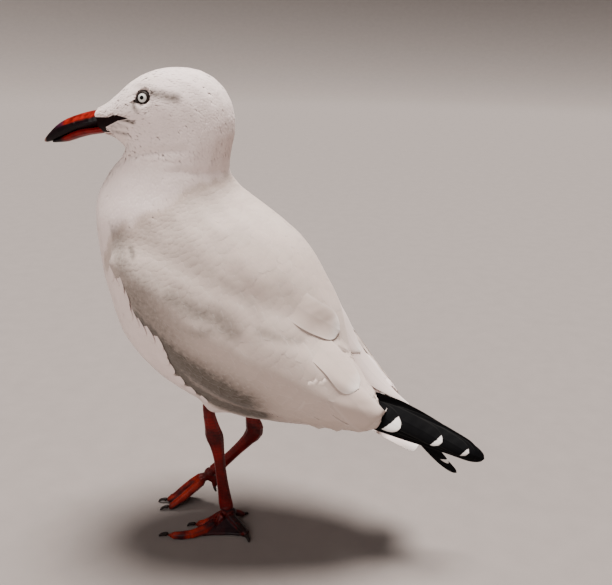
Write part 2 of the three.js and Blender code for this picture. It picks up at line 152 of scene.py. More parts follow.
def make_mesh(name, points, groups):
    """groups is a list of arrays, each of polygons with the same number of corners."""
    mesh = bpy.data.meshes.new(name)
    mesh.vertices.add(len(points))
    mesh.vertices.foreach_set("co", ((points + HOME) * MM).astype(np.float32).ravel())
    corners = np.concatenate([g.ravel() for g in groups]).astype(np.int32)
    sizes = np.concatenate([np.full(len(g), g.shape[1]) for g in groups])
    mesh.loops.add(len(corners))
    mesh.loops.foreach_set("vertex_index", corners)
    mesh.polygons.add(len(sizes))
    mesh.polygons.foreach_set("loop_start", (np.cumsum(sizes) - sizes).astype(np.int32))
    mesh.update(calc_edges=True)
    mesh.validate()
    shade_smooth(mesh)
    return mesh


def shade_smooth(mesh):
    mesh.polygons.foreach_set("use_smooth", np.ones(len(mesh.polygons), bool))


def read_each(items, name, width, kind=np.float32):
    """A property of each item of a mesh, as rows of the width given."""
    flat = np.empty(len(items) * width, kind)
    items.foreach_get(name, flat)
    return flat.reshape(-1, width)


def points_of(mesh):
    return read_each(mesh.vertices, "co", 3).astype(float) / MM - HOME


def normals_of(mesh):
    return read_each(mesh.vertices, "normal", 3).astype(float)


def set_points(mesh, points):
    mesh.vertices.foreach_set("co", ((points + HOME) * MM).astype(np.float32).ravel())
    mesh.update()


def set_value(mesh, name, values):
    layer = mesh.attributes.new(name, "FLOAT", "POINT")
    layer.data.foreach_set("value", np.asarray(values, np.float32).ravel())


WELD = 0.002  # corners of a solid closer than this are one


def one_surface(name, nodes, voxel, grow, rounds, knots=()):
    """The nodes as one watertight surface of even squares, each node grown first and the whole relaxed after.

    knots are places and radii of balls that fill out where the nodes meet."""
    joined = bmesh.new()
    for place, radius in knots:
        spot = Matrix.Translation(Vector((np.array(place) + HOME) * MM))
        bmesh.ops.create_icosphere(joined, subdivisions=3, radius=radius * MM, matrix=spot)
    for node in nodes:
        part = bmesh.new()
        part.from_mesh(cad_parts[node].data)
        bmesh.ops.remove_doubles(part, verts=part.verts, dist=WELD * MM)
        part.normal_update()
        for vertex in part.verts:
            vertex.co += vertex.normal * grow * MM
        loose = bpy.data.meshes.new(node)
        part.to_mesh(loose)
        part.free()
        joined.from_mesh(loose)
        bpy.data.meshes.remove(loose)
    rough = bpy.data.meshes.new(name)
    joined.to_mesh(rough)
    joined.free()
    holder = new_object(name, rough)
    remesh = holder.modifiers.new("even", "REMESH")
    remesh.mode = "VOXEL"
    remesh.voxel_size = voxel * MM
    relax = holder.modifiers.new("relax", "SMOOTH")
    relax.factor = 0.5
    relax.iterations = rounds
    graph = bpy.context.evaluated_depsgraph_get()
    mesh = bpy.data.meshes.new_from_object(holder.evaluated_get(graph))
    bpy.data.objects.remove(holder)
    bpy.data.meshes.remove(rough)
    mesh.name = name
    mesh.materials.clear()
    shade_smooth(mesh)
    return mesh


def tree_of(mesh):
    points = points_of(mesh)
    return BVHTree.FromPolygons([tuple(p) for p in points], [tuple(f.vertices) for f in mesh.polygons])


UNWRAP_ANGLE = math.radians(66)
UNWRAP_MARGIN = 0.002


def unwrap(piece):
    """An unwrap of the piece's own shape, named OFBake."""
    for layer in list(piece.data.uv_layers):
        piece.data.uv_layers.remove(layer)
    piece.data.uv_layers.new(name="OFBake")
    bpy.context.view_layer.objects.active = piece
    piece.select_set(True)
    bpy.ops.object.mode_set(mode="EDIT")
    bpy.ops.mesh.select_all(action="SELECT")
    bpy.ops.uv.smart_project(angle_limit=UNWRAP_ANGLE, island_margin=UNWRAP_MARGIN)
    bpy.ops.object.mode_set(mode="OBJECT")
    piece.select_set(False)


def new_piece(name, mesh):
    piece = new_object(name, mesh)
    unwrap(piece)
    return piece


def finish_piece(piece, material, slot, *nodes):
    piece.data.materials.clear()
    piece.data.materials.append(material)
    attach(piece, "root")
    if nodes:
        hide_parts(*nodes)
    return piece


# ---------- shader wiring ----------

class Wire:
    """A shader socket that can be used in arithmetic."""

    def __init__(self, finish, socket):
        self.finish = finish
        self.socket = socket

    def _maths(self, operation, first, second):
        return self.finish.add("ShaderNodeMath", {"operation": operation}, {0: first, 1: second})

    def __add__(self, other):
        return self._maths("ADD", self, other)

    __radd__ = __add__

    def __sub__(self, other):
        return self._maths("SUBTRACT", self, other)

    def __rsub__(self, other):
        return self._maths("SUBTRACT", other, self)

    def __mul__(self, other):
        return self._maths("MULTIPLY", self, other)

    __rmul__ = __mul__

    def __truediv__(self, other):
        return self._maths("DIVIDE", self, other)

    def __abs__(self):
        return self._maths("ABSOLUTE", self, 0.0)

    def wave(self):
        return self._maths("SINE", self, 0.0)

    def ramp(self, low, high):
        """0 below low, 1 above high, and smooth between them."""
        sockets = {"Value": self, "From Min": low, "From Max": high}
        return self.finish.add("ShaderNodeMapRange", {"interpolation_type": "SMOOTHSTEP"}, sockets)


class Finish:
    """A material on one principled shader."""

    def __init__(self, name, roughness=0.7, **constants):
        self.material = bpy.data.materials.new(name)
        self.material.use_nodes = True
        self.tree = self.material.node_tree
        self.shader = next(n for n in self.tree.nodes if n.type == "BSDF_PRINCIPLED")
        self.shader.inputs["Roughness"].default_value = roughness
        for socket, value in constants.items():
            self.shader.inputs[socket.replace("_", " ")].default_value = value

    def add(self, kind, settings, sockets, output=0):
        """A node of any kind: its settings are set first, then its sockets, from wires or plain values."""
        node = self.tree.nodes.new(kind)
        for name, value in settings.items():
            setattr(node, name, value)
        for name, value in sockets.items():
            if isinstance(value, Wire):
                self.tree.links.new(value.socket, node.inputs[name])
            else:
                node.inputs[name].default_value = value
        return Wire(self, node.outputs[output])

    def value(self, name):
        """A value stored on the mesh."""
        return self.add("ShaderNodeAttribute", {"attribute_name": name}, {}, "Fac")

    def place(self):
        return self.add("ShaderNodeTexCoord", {}, {}, "Object")

    def noise(self, scale, detail):
        sockets = {"Vector": self.place(), "Scale": scale, "Detail": detail}
        return self.add("ShaderNodeTexNoise", {}, sockets, "Fac")

    def cells(self, scale):
        """Distance from the borders of small cells."""
        sockets = {"Vector": self.place(), "Scale": scale}
        return self.add("ShaderNodeTexVoronoi", {"feature": "DISTANCE_TO_EDGE"}, sockets)

    def mix(self, factor, first, second):
        """The first colour going over to the second as the factor goes from 0 to 1."""
        sockets = {0: factor, 6: self._colour(first), 7: self._colour(second)}
        return self.add("ShaderNodeMix", {"data_type": "RGBA"}, sockets, 2)

    @staticmethod
    def _colour(value):
        return value if isinstance(value, Wire) else (*value, 1)

    def bump(self, height, strength, distance):
        sockets = {"Height": height, "Strength": strength, "Distance": distance * MM}
        return self.add("ShaderNodeBump", {}, sockets)

    def feed(self, **sockets):
        for name, wire in sockets.items():
            self.tree.links.new(wire.socket, self.shader.inputs[name.replace("_", " ")])
        return self.material


# ---------- markings, painted shade and form, shared by the skin and the coat ---

# The grey of the mantle and wings, as an outline in the side view.
GREY_OUTLINE = [
    (16, 236), (10, 227), (-10, 221), (-33, 207), (-50, 195), (-57, 188), (-61, 178), (-63, 170),
    (-53, 170.5), (-42, 171), (-40.5, 163), (-41.5, 154), (-38, 148.5), (-33, 143.5), (-26, 139),
    (-23, 132), (-24, 123.7),
    (-21, 115.8), (-15, 106), (-8, 97), (1, 90.5), (12, 85.5), (30, 83), (79, 80), (112, 78), (125, 92),
    (70, 200), (34, 222),
]
# The rounded lower edge of the shoulder feathers, and all that lies above it.
SHOULDER_OUTLINE = [
    (-28, 190), (-12, 179), (2, 170), (14, 164), (22, 160), (31, 154.8), (37, 150.3), (44, 146.4),
    (51, 144), (57, 143.9), (61.5, 147.6), (68, 149), (74, 150), (88, 148), (60, 210), (10, 216),
]
# The bare dark skin that carries the corner of the mouth back into the face.
GAPE_OUTLINE = [
    (-78, 257.5), (-69.3, 256.6), (-66, 256.2), (-56, 257.0), (-52.5, 258.5), (-49.5, 258.7),
    (-46.5, 258.1), (-43.5, 257.7), (-39.6, 256.4), (-43.5, 256.6), (-48.9, 255.7), (-54, 253.4),
    (-59.3, 251.0), (-57.5, 249.9), (-54.8, 249.1), (-58, 248.2), (-78, 246.5),
]
# Creases in the plumage: line in the side view, depth, width.
CREASES = [
    ([(-52, 233), (-45.4, 235.7), (-36, 239.2), (-27, 240.6), (-18, 241.6), (-10, 241.4)], 1.2, 1.6),
    ([(-20, 229), (-10.6, 230.4), (-3.3, 229), (3.4, 228.4), (10, 226.8)], 1.0, 1.5),
    ([(-32, 186), (-18.6, 178.7), (-5.7, 167), (1.3, 158.4), (10.1, 159.5)], 0.8, 2.0),
    ([(-3.8, 174.4), (7.3, 168.1), (12.2, 160), (17.9, 152), (24.8, 141.8), (34, 134)], 0.8, 1.8),
    ([(17.3, 181.2), (24.1, 174.5), (30, 166), (33.4, 156.8)], 0.7, 1.8),
    ([(31, 152.4), (38, 147.6), (46, 143.8), (54, 141.6)], 1.0, 1.8),
]

# Brownish touches: markings of the head, soiling on the breast, and painted shade on the lower wing, the
# flank and in the folds: line in the side view, half width, strength.
SMUDGES_AND_SHADE = [
    # markings of the head: behind, before and below the eye, and the line from the gape
    ([(-28, 270.6), (-23, 269.8), (-15, 268.2)], 2.6, 0.75),
    ([(-48, 256.9), (-43.5, 256.3), (-38.6, 255.0)], 0.7, 1.1),
    ([(-38.6, 265.2), (-37.9, 263.2), (-36.4, 261.4)], 1.2, 0.8),
    ([(-39, 274.2), (-31, 274.4)], 1.2, 0.3),
    ([(-53.9, 249.7), (-48.8, 249.2), (-43.8, 248.8)], 1.2, 0.5),
    ([(-53.4, 252.2), (-47.9, 253.0), (-43.4, 252.6)], 1.0, 0.3),
    # soiling on the breast by the front of the wing
    ([(-38.4, 190.6), (-36, 187)], 2.2, 0.75),
    ([(-47.5, 201.5), (-44.5, 198), (-42.5, 194.5)], 2.0, 0.3),
    ([(-49, 195), (-44, 187), (-40, 179)], 7.0, 0.6),
    # painted shade: the lower wing where it turns down from the light, and its darkest core
    ([(-36, 164), (-24, 144), (-16, 126), (-4, 112), (14, 100)], 19.0, 0.72),
    ([(-31, 143), (-17, 131), (-3, 121), (11, 112), (22, 104)], 13.0, 1.2),
    # painted shade in the folds of the shoulder feathers
    ([(-30, 178), (-16, 168), (-4, 157)], 4.0, 0.25),
    ([(-10, 151), (2, 148), (11, 152)], 3.5, 0.35),
    # painted shade behind the white feathers that lap over the wing's front
    ([(-36, 152), (-28, 142), (-20, 130), (-17, 118), (-11, 108), (2, 97), (18, 91), (30, 89)], 6.5, 1.2),
    # painted shade low on the flank
    ([(-14, 92), (2, 82), (20, 76), (40, 76)], 7.0, 0.5),
    # painted shade in the folds and under the shoulder feathers' lower edge
    ([(-14, 168), (0, 160), (12, 157), (20, 149)], 5.0, 0.6),
    ([(34, 149), (46, 143.5), (54, 141.5)], 2.6, 0.45),
    ([(14, 176), (26, 166), (33, 157)], 2.2, 0.25),
]
# What lies behind the front edge of the folded wing, in the side view: the painted shade and the soiling stay
# off the breast.
WING_FRONT = [
    (-60, 215), (-53, 195), (-52, 180), (-46, 171.5), (-41.5, 168), (-39.6, 162), (-40.6, 154), (-37, 149),
    (-30, 144), (-24, 138.5), (-22.4, 130), (-22.6, 122), (-18, 110), (-10, 100), (-2, 93), (10, 85),
    (30, 74), (60, 50), (140, 50), (140, 215),
]
NECK_BASE = 203  # below this the soiling and painted shade keep behind the wing's front, and are fainter on the right side, leaving the painted shade darkest on the left
FAINTER_RIGHT = 0.6


def greyness(points):
    """1 on the grey of the mantle and wings, 0 on the white."""
    edge = inside(side_view(points), GREY_OUTLINE) + 1.6 * wobble(points, 9.0, 3)
    rump = smooth(84, 94, points[:, 0]) * smooth(13, 8, np.abs(points[:, 1]))
    return smooth(-2.5, 4.0, edge) * (1 - rump)


def soil_and_shade_at(points):
    """How strongly the markings, the soiling and the painted shade show, 0 to about 1."""
    flat = side_view(points)
    total = np.zeros(len(points))
    for line, width, strength in SMUDGES_AND_SHADE:
        gap, _ = line_distance(flat, line)
        total = np.maximum(total, strength * np.exp(-(gap / width) ** 2))
    outer = smooth(6, 11, np.abs(points[:, 1]))
    on_head = smooth(NECK_BASE, NECK_BASE + 5, points[:, 2])
    behind = np.maximum(smooth(-1.0, 1.5, inside(flat, WING_FRONT)), on_head)
    # the painted shade and soiling are fainter on the right side, so the left side stays darker
    right = smooth(0.0, 6.0, points[:, 1]) * smooth(NECK_BASE, NECK_BASE - 8, points[:, 2])
    return total * outer * behind * (1 - FAINTER_RIGHT * right)


def gape_depth(points):
    """Signed distance into the bare corner of the mouth, positive inside."""
    edge = inside(side_view(points), GAPE_OUTLINE)
    return np.where(np.abs(points[:, 1]) > 1.5, edge, np.minimum(edge, -1.0))


SHOULDER_RISE = 1.1
SWELL, SWELL_SIZE = 0.3, 26
RIPPLE, RIPPLE_SIZE = 0.08, 11


def relief(points):
    """How far the form stands out from the plain solid, in millimetres."""
    flat = side_view(points)
    outer = smooth(10, 22, np.abs(points[:, 1]))
    shoulder = smooth(-0.8, 4.5, inside(flat, SHOULDER_OUTLINE))
    height = SHOULDER_RISE * outer * shoulder * smooth(192, 170, points[:, 2])
    for line, depth, width in CREASES:
        gap, place = line_distance(flat, line)
        height -= depth * np.exp(-(gap / width) ** 2) * np.sin(np.clip(place, 0.04, 0.9) * math.pi) ** 0.5
    body = smooth(232, 215, points[:, 2])
    height += body * (SWELL * wobble(points, SWELL_SIZE, 11) + RIPPLE * wobble(points, RIPPLE_SIZE, 12))
    return height


EYE = {name: centre_of(f"eye_{name}") for name in SIDES}
EYE_RADIUS = (node_box("eye_left")[1] - node_box("eye_left")[0])[2] / 2
BILL_TIP, _ = node_box("bill_upper")
BILL_ROOT = np.array([BILL_TIP[0] + 34, 0.0, 251.0])
LOOK = unit(np.array([-0.08, 1.0, 0.21]))  # where the right eye looks
EYE_CORNER = np.array([-5.6, -2.0])  # the front corner of the lids, from the eye's centre in the side view
BARE_RADIUS = 3.8
BARE_CORNER = 2.6


def from_eye(points, name):
    """The way an eye looks, how far out each point is along it, and how far off it."""
    look = LOOK * np.array([1, SIDES[name], 1])
    reach = points - EYE[name]
    depth = reach @ look
    return look, depth, np.linalg.norm(reach - depth[:, None] * look, axis=1)


def eye_gap(points):
    """Distance from the nearer line of sight, of those in front of the eyes."""
    gaps = []
    for name in SIDES:
        _, depth, gap = from_eye(points, name)
        gaps.append(np.where(depth > -1, gap, 99))
    return np.minimum(*gaps)


def bare_eye(points):
    """How far inside the bare rim of the eye and its front corner, in millimetres."""
    centre = side_view(EYE["left"][None])[0]
    gap, place = line_distance(side_view(points), [centre, centre + EYE_CORNER])
    corner = BARE_CORNER * (1 - place) + 0.5 - gap
    return np.maximum(BARE_RADIUS - eye_gap(points), np.where(np.abs(points[:, 1]) > 8, corner, -9.0))


def bare(points):
    """Where no feathers grow: round the eyes and at the corners of the mouth."""
    return (bare_eye(points) > 0) | (gape_depth(points) > -0.25)


BODY_COAT = 1.25
HEAD_THINNER = 0.45
BILL_ROOT_COAT = 0.35  # as a share of the coat further back


def coat_depth(points):
    """How deep the coat is, in millimetres: thinner on the head, and thinnest round the bill and eyes."""
    depth = BODY_COAT - HEAD_THINNER * smooth(228, 248, points[:, 2])
    face = np.linalg.norm(points - BILL_ROOT, axis=1)
    depth = depth * (BILL_ROOT_COAT + (1 - BILL_ROOT_COAT) * smooth(3, 30, face))
    near_eye = 0.3 + 0.1 * np.maximum(eye_gap(points) - 3.5, 0)
    depth = np.minimum(depth, near_eye)
    depth = np.where(gape_depth(points) > -0.4, 0.35 + 0.5 * smooth(-0.2, 0.8, gape_depth(points)), depth)
    leg = smooth(92, 82, points[:, 2]) * smooth(40, 30, points[:, 0]) * smooth(-20, -12, points[:, 0])
    return depth * (1 - 0.55 * leg)


# ---------- skin ----------

FLESH = ["head", "neck", "trunk", "thigh_left", "thigh_right", "wing_left", "wing_right"]
SKIN_VOXEL = 1.45
SKIN_GROWTH = 0.35
THICKEST = 30.0
MOST_INSET = 0.36  # the coat is never deeper than this share of what lies under it
SOFTEN_ROUNDS = 22
SOFTEN_STEP = 0.6
SOCKET_WIDTH = 3.3


def sink_sockets(points):
    """Presses the skin back behind the front of each eyeball."""
    for name in SIDES:
        look, depth, gap = from_eye(points, name)
        floor = np.sqrt(np.maximum(EYE_RADIUS ** 2 - np.minimum(gap, SOCKET_WIDTH) ** 2, 0)) - 0.6
        over = np.maximum(depth - floor, 0) * smooth(5.0, 3.6, gap) * (depth > 0)
        points = points - over[:, None] * look
    return points


def thickness_under(tree, points, normals):
    """How thick the body is straight in from each point."""
    thickness = np.full(len(points), THICKEST)
    for i, (point, normal) in enumerate(zip(points, normals)):
        hit = tree.ray_cast(Vector(point - normal * 0.05), Vector(-normal), THICKEST)
        if hit[3] is not None:
            thickness[i] = hit[3]
    return thickness


def soften_wings(mesh, points):
    """Rounds off the edges of the wing solids, except at the hand and near the middle of the body."""
    ends = read_each(mesh.edges, "vertices", 2, np.int32)
    first, second = ends.T
    linked = np.bincount(ends.ravel(), minlength=len(points))[:, None]
    outer = smooth(4, 13, np.abs(points[:, 1]))
    soft = (smooth(72, 58, points[:, 0]) * smooth(205, 190, points[:, 2]) * outer)[:, None]
    for _ in range(SOFTEN_ROUNDS):
        around = np.zeros_like(points)
        np.add.at(around, first, points[second])
        np.add.at(around, second, points[first])
        points += (around / linked - points) * soft * SOFTEN_STEP


def lap_bill(points):
    """Draws the feathered brow forward over the root of the bill."""
    over = smooth(BILL_ROOT[0] + 9, BILL_ROOT[0] + 2, points[:, 0]) * smooth(255, 257.5, points[:, 2])
    points[:, 0] -= over * (1.8 - 0.8 * smooth(259, 263, points[:, 2]))
    points[:, 1] *= 1 - 0.1 * over


def make_skin():
    """The skin that stands for the flesh, and how far it lies inside the solids."""
    mesh = one_surface("skin", FLESH, SKIN_VOXEL, SKIN_GROWTH, 3)
    outer = points_of(mesh)
    normals = normals_of(mesh)
    thickness = thickness_under(tree_of(mesh), outer, normals)
    inset = np.minimum(coat_depth(outer) + SKIN_GROWTH, thickness * MOST_INSET)
    shaped = outer + normals * (relief(outer) - inset)[:, None]
    shaped = sink_sockets(shaped)
    soften_wings(mesh, shaped)
    lap_bill(shaped)
    set_points(mesh, shaped)
    relax = bmesh.new()
    relax.from_mesh(mesh)
    axes = {f"use_axis_{axis}": True for axis in "xyz"}
    bmesh.ops.smooth_vert(relax, verts=relax.verts, factor=0.5, **axes)
    relax.to_mesh(mesh)
    relax.free()
    set_value(mesh, "grey", greyness(shaped))
    set_value(mesh, "dull", soil_and_shade_at(shaped))
    set_value(mesh, "gape", gape_depth(shaped))
    return new_piece("skin", mesh), inset


# ---------- the lie of the coat ----------

# Place in the side view, and the way the feathers point there.
LIE = [
    ((-66, 258), (0.85, 0.52)), ((-50, 271), (0.86, 0.5)), ((-20, 281), (1, -0.02)),
    ((4, 273), (0.62, -0.78)), ((11, 250), (-0.02, -1)), ((9, 232), (0.1, -1)),
    ((-62, 246), (0.97, -0.2)), ((-45, 262), (1, 0.0)), ((-44, 248), (0.9, -0.42)),
    ((-20, 262), (0.95, -0.3)), ((-12, 245), (0.5, -0.86)), ((-52, 238), (0.35, -0.93)),
    ((-34, 226), (0.05, -1)), ((-66, 214), (-0.3, -0.95)), ((-73, 190), (0, -1)),
    ((-70, 158), (0.2, -0.98)), ((-60, 122), (0.55, -0.83)), ((-34, 92), (0.86, -0.5)),
    ((8, 76), (1, -0.1)), ((60, 73), (1, 0.02)), ((-30, 200), (0.25, -0.97)),
    ((20, 214), (0.75, -0.66)), ((48, 190), (0.62, -0.78)), ((70, 150), (0.45, -0.89)),
    ((92, 110), (0.55, -0.83)), ((-52, 184), (0.3, -0.95)), ((-30, 165), (0.5, -0.86)),
    ((0, 150), (0.72, -0.7)), ((0, 185), (0.6, -0.8)), ((30, 165), (0.72, -0.69)),
    ((30, 125), (0.82, -0.57)), ((-5, 118), (0.8, -0.6)), ((60, 120), (0.85, -0.52)),
    ((60, 95), (0.9, -0.43)), ((90, 98), (0.88, -0.48)),
]
LIE_BLEND = 30  # how gradually one heading goes over to the next, in square millimetres
LIE_FALL = 1.6


def lie_at(points, normals, spread):
    """The way a feather points at each place along the skin, with a little disorder."""
    flat = side_view(points)
    way = np.zeros((len(points), 2))
    for place, heading in LIE:
        pull = 1 / (np.sum((flat - place) ** 2, axis=1) + LIE_BLEND) ** LIE_FALL
        way += pull[:, None] * unit(np.array(heading, float))
    turn = rng.normal(0, spread, len(points))
    way = unit(way)
    turned = np.stack([way[:, 0] * np.cos(turn) - way[:, 1] * np.sin(turn),
                       way[:, 0] * np.sin(turn) + way[:, 1] * np.cos(turn)], 1)
    heading = np.stack([turned[:, 0], np.zeros(len(points)), turned[:, 1]], 1)
    heading += np.stack([0 * turn, rng.normal(0, spread, len(points)), 0 * turn], 1)
    heading -= np.sum(heading * normals, axis=1, keepdims=True) * normals
    return unit(heading)


CROWDING = 3.2  # places tried, for each that the spacing leaves room for


class Ground:
    """The skin as a surface to plant feathers on."""

    def __init__(self, piece, inset):
        mesh = piece.data
        self.points = points_of(mesh)
        self.normals = normals_of(mesh)
        self.inset = inset
        self.faces = np.array([tuple(f.vertices) if len(f.vertices) == 4 else (*f.vertices, f.vertices[2])
                               for f in mesh.polygons])
        starts = read_each(mesh.polygons, "loop_start", 1, np.int32)[:, 0]
        self.map = read_each(mesh.uv_layers["OFBake"].data, "uv", 2)[starts]
        self.tree = BVHTree.FromPolygons([tuple(p) for p in self.points], [tuple(f) for f in self.faces])
        corners = self.points[self.faces]
        across = np.cross(corners[:, 2] - corners[:, 0], corners[:, 3] - corners[:, 1])
        self.area = np.linalg.norm(across, axis=1) / 2
        self.middle = corners.mean(1)

    def scatter(self, wanted, spacing):
        """Roots no closer than spacing, an array by face, where wanted is true."""
        chance = np.where(wanted, self.area / spacing ** 2, 0)
        count = int(chance.sum() * CROWDING)
        picks = rng.choice(len(self.area), count, p=chance / chance.sum())
        u, v = rng.random((2, count, 1))
        a, b, c, d = (self.points[self.faces[picks, k]] for k in range(4))
        places = a * (1 - u) * (1 - v) + b * u * (1 - v) + c * u * v + d * (1 - u) * v
        taken = {}
        kept = []
        largest = spacing[picks].max()
        cells = np.floor(places / largest).astype(int)
        steps = list(itertools.product((-1, 0, 1), repeat=3))
        for i in range(count):
            x, y, z = cells[i]
            near = spacing[picks[i]] ** 2
            rivals = (j for dx, dy, dz in steps for j in taken.get((x + dx, y + dy, z + dz), ()))
            gaps = (places[i] - places[j] for j in rivals)
            if not any(gap @ gap < near for gap in gaps):
                taken.setdefault((x, y, z), []).append(i)
                kept.append(i)
        kept = np.array(kept)
        return places[kept], picks[kept]

    def from_side(self, spot, side):
        """The skin's place, normal and face met from one side, at a place in the side view."""
        return self.tree.ray_cast(Vector((spot[0], side * FAR_OFF, spot[1])), Vector((0, -side, 0)))[:3]

    def nearest(self, points):
        """The nearest skin places, normals and coat depths."""
        places = np.empty_like(points)
        normals = np.empty_like(points)
        index = np.empty(len(points), int)
        for i, point in enumerate(points):
            place, normal, face, _ = self.tree.find_nearest(Vector(point))
            places[i] = place
            normals[i] = normal
            index[i] = face
        soft = unit(self.normals[self.faces[index]].mean(1))
        return places, soft, self.inset[self.faces[index]].mean(1)


# ---------- feathers as solids ----------

TUFT_PATCH = 0.003


class Plumes:
    """Many closed lofts gathered into one mesh. Each loft is a run of loops of the same number of points."""

    def __init__(self):
        self.points = []
        self.quads = []
        self.caps = []
        self.creases = []
        self.ends = []
        self.values = {}
        self.map = []
        self.total = 0

    def add(self, loops, along, across, roots, rims=(), **values):
        """loops is (feathers, stations, corners, 3). along goes by station, across by corner.

        rims are the corners that stay sharp."""
        count, stations, corners, _ = loops.shape
        index = np.arange(count * stations * corners).reshape(count, stations, corners) + self.total
        after = np.roll(index, -1, axis=2)
        quads = np.stack([index[:, :-1], index[:, 1:], after[:, 1:], after[:, :-1]], -1)
        self.points.append(loops.reshape(-1, 3))
        self.quads.append(quads.reshape(-1, 4))
        self.caps.append(index[:, 0])
        self.caps.append(index[:, -1, ::-1])
        self.total += index.size
        creases = np.zeros(corners, int)
        creases[list(rims)] = np.arange(len(rims)) + 1
        self.creases.append(np.broadcast_to(creases, (count, stations, corners)).ravel())
        ends = np.zeros((count, stations, corners), int)
        ends[:, 0] = 1
        ends[:, -1] = 2
        self.ends.append(ends.ravel())
        shape = (count, stations, corners)
        t = np.broadcast_to(np.asarray(along)[..., :, None], shape)
        u = np.broadcast_to(np.asarray(across), shape)
        turn = 2 * math.pi * (np.arange(corners) / corners)
        drift = np.stack([t - 0.5 + 0.12 * np.sin(turn), u * 0.42 + 0.06 * np.cos(turn)], -1)
        self.map.append((roots[:, None, None, :] + TUFT_PATCH * drift).reshape(-1, 2))
        for name, value in {"along": t, "across": u, **values}.items():
            value = np.asarray(value, float)
            while value.ndim < 3:
                value = value[..., None]
            self.values.setdefault(name, []).append(np.broadcast_to(value, shape).ravel())

    def build(self, name):
        quads = np.concatenate(self.quads)
        caps = {}
        for cap in self.caps:
            caps.setdefault(cap.shape[1], []).append(cap)
        groups = [quads] + [np.concatenate(alike) for alike in caps.values()]
        mesh = make_mesh(name, np.concatenate(self.points), groups)
        for key, parts in self.values.items():
            set_value(mesh, key, np.concatenate(parts))
        edges = read_each(mesh.edges, "vertices", 2, np.int32)
        crisp = np.zeros(len(mesh.edges), bool)
        for marks in (np.concatenate(self.creases), np.concatenate(self.ends)):
            first, second = marks[edges].T
            crisp |= (first == second) & (first > 0)
        sharp = mesh.attributes.new("sharp_edge", "BOOLEAN", "EDGE")
        sharp.data.foreach_set("value", crisp)
        spots = np.concatenate(self.map)
        low, high = spots.min(0), spots.max(0)
        spots = UNWRAP_MARGIN + (spots - low) / (high - low) * (1 - 2 * UNWRAP_MARGIN)
        corner = read_each(mesh.loops, "vertex_index", 1, np.int32)[:, 0]
        layer = mesh.uv_layers.new(name="OFBake")
        layer.data.foreach_set("uv", spots[corner].astype(np.float32).ravel())
        return new_object(name, mesh)


# A vane's stations from root to tip, its width and height there, its corners across the top, and how
# far a feather's tip may lean up or down.
BROAD = {
    "along": np.array([0.0, 0.3, 0.55, 0.75, 0.88, 0.96, 1.0]),
    "width": np.array([0.35, 0.8, 1.0, 0.96, 0.76, 0.46, 0.12]),
    "rise": np.array([-0.2, 0.68, 0.86, 0.9, 0.88, 0.84, 0.8]),
    "across": np.array([-1.0, -0.55, 0.0, 0.55, 1.0]),
    "lean": 0.05,
}
SMALL = {
    "along": np.array([0.0, 0.3, 0.68, 1.0]),
    "width": np.array([0.4, 1.0, 0.86, 0.1]),
    "rise": np.array([-0.2, 0.78, 0.9, 0.84]),
    "across": np.array([-1.0, 0.0, 1.0]),
    "lean": 0.03,
}


def clear_of_bare(roots, length, heading):
    """Which feathers lie over neither an eye nor a corner of the mouth."""
    over = bare(roots)
    for share in (0.5, 1.0):
        over |= bare(roots + heading * (share * length)[:, None])
    return ~over


def plant_vanes(plumes, ground, roots, faces, length, width, spread, thick, shape, lift=0.0, heading=None):
    """Adds a thin feather for each root, every point of it hugging the skin. lift raises its tip."""
    _, normals, _ = ground.nearest(roots)
    if heading is None:
        heading = lie_at(roots, normals, spread)
    keep = clear_of_bare(roots, length, heading)
    roots, faces, length = roots[keep], faces[keep], length[keep]
    width, normals, heading = width[keep], normals[keep], heading[keep]
    along, across = shape["along"], shape["across"]
    sides = unit(np.cross(normals, heading))
    count, stations, tops = len(roots), len(along), len(across)
    run = (length[:, None] * along)[:, :, None, None]
    half = width[:, None] / 2 * shape["width"]
    flat = (roots[:, None, None, :] + heading[:, None, None, :] * run
            + sides[:, None, None, :] * (half[:, :, None] * across)[..., None])
    places, ups, depth = ground.nearest(flat.reshape(-1, 3))
    places, ups = places.reshape(flat.shape), ups.reshape(flat.shape)
    lean = rng.uniform(-1, 1, (count, 1, 1)) * shape["lean"]
    rise = depth.reshape(count, stations, tops) * (shape["rise"][None, :, None] + lean * along[None, :, None])
    rise = rise + lift * along[None, :, None] ** 2
    top = places + ups * (rise + thick * (1 - across ** 2))[..., None]
    under = places + ups * (rise - thick)[..., None]
    loops = np.concatenate([top, under[:, :, -2:0:-1]], axis=2)
    round_it = np.concatenate([across, across[-2:0:-1]])
    seen = roots + heading * (0.7 * length)[:, None]
    dull = soil_and_shade_at(loops.reshape(-1, 3)).reshape(loops.shape[:3])
    plumes.add(loops, along, round_it, ground.map[faces], (0, tops - 1), chance=rng.random(count),
               to_tip=length[:, None] * (1 - along), wide=half, grey=greyness(seen), dull=dull)


def thigh_zone(points):
    return (points[:, 2] < 86) & (points[:, 0] < 40) & (points[:, 0] > -20)


def coat_zones(middle):
    """Which piece of the coat each face belongs to."""
    x, y, z = middle.T
    grey = greyness(middle) > 0.5
    zones = np.full(len(middle), "belly", dtype="<U8")
    zones[z > 118] = "breast"
    zones[z > 190] = "neck"
    zones[z > 238] = "head"
    zones[thigh_zone(middle)] = "thighs"
    wing = inside(side_view(middle), SHOULDER_OUTLINE) < 0
    zones[grey & wing & (z < 196) & (y < 0)] = "wing_l"
    zones[grey & wing & (z < 196) & (y >= 0)] = "wing_r"
    zones[grey & ~((zones == "wing_l") | (zones == "wing_r"))] = "mantle"
    return zones


def vane_size(points):
    """The size of the mantle's and wings' feathers: small at the neck and the wing's front, large behind."""
    size = 0.42 + 0.75 * smooth(-58, 55, points[:, 0])
    return size * (0.5 + 0.5 * smooth(228, 185, points[:, 2]))


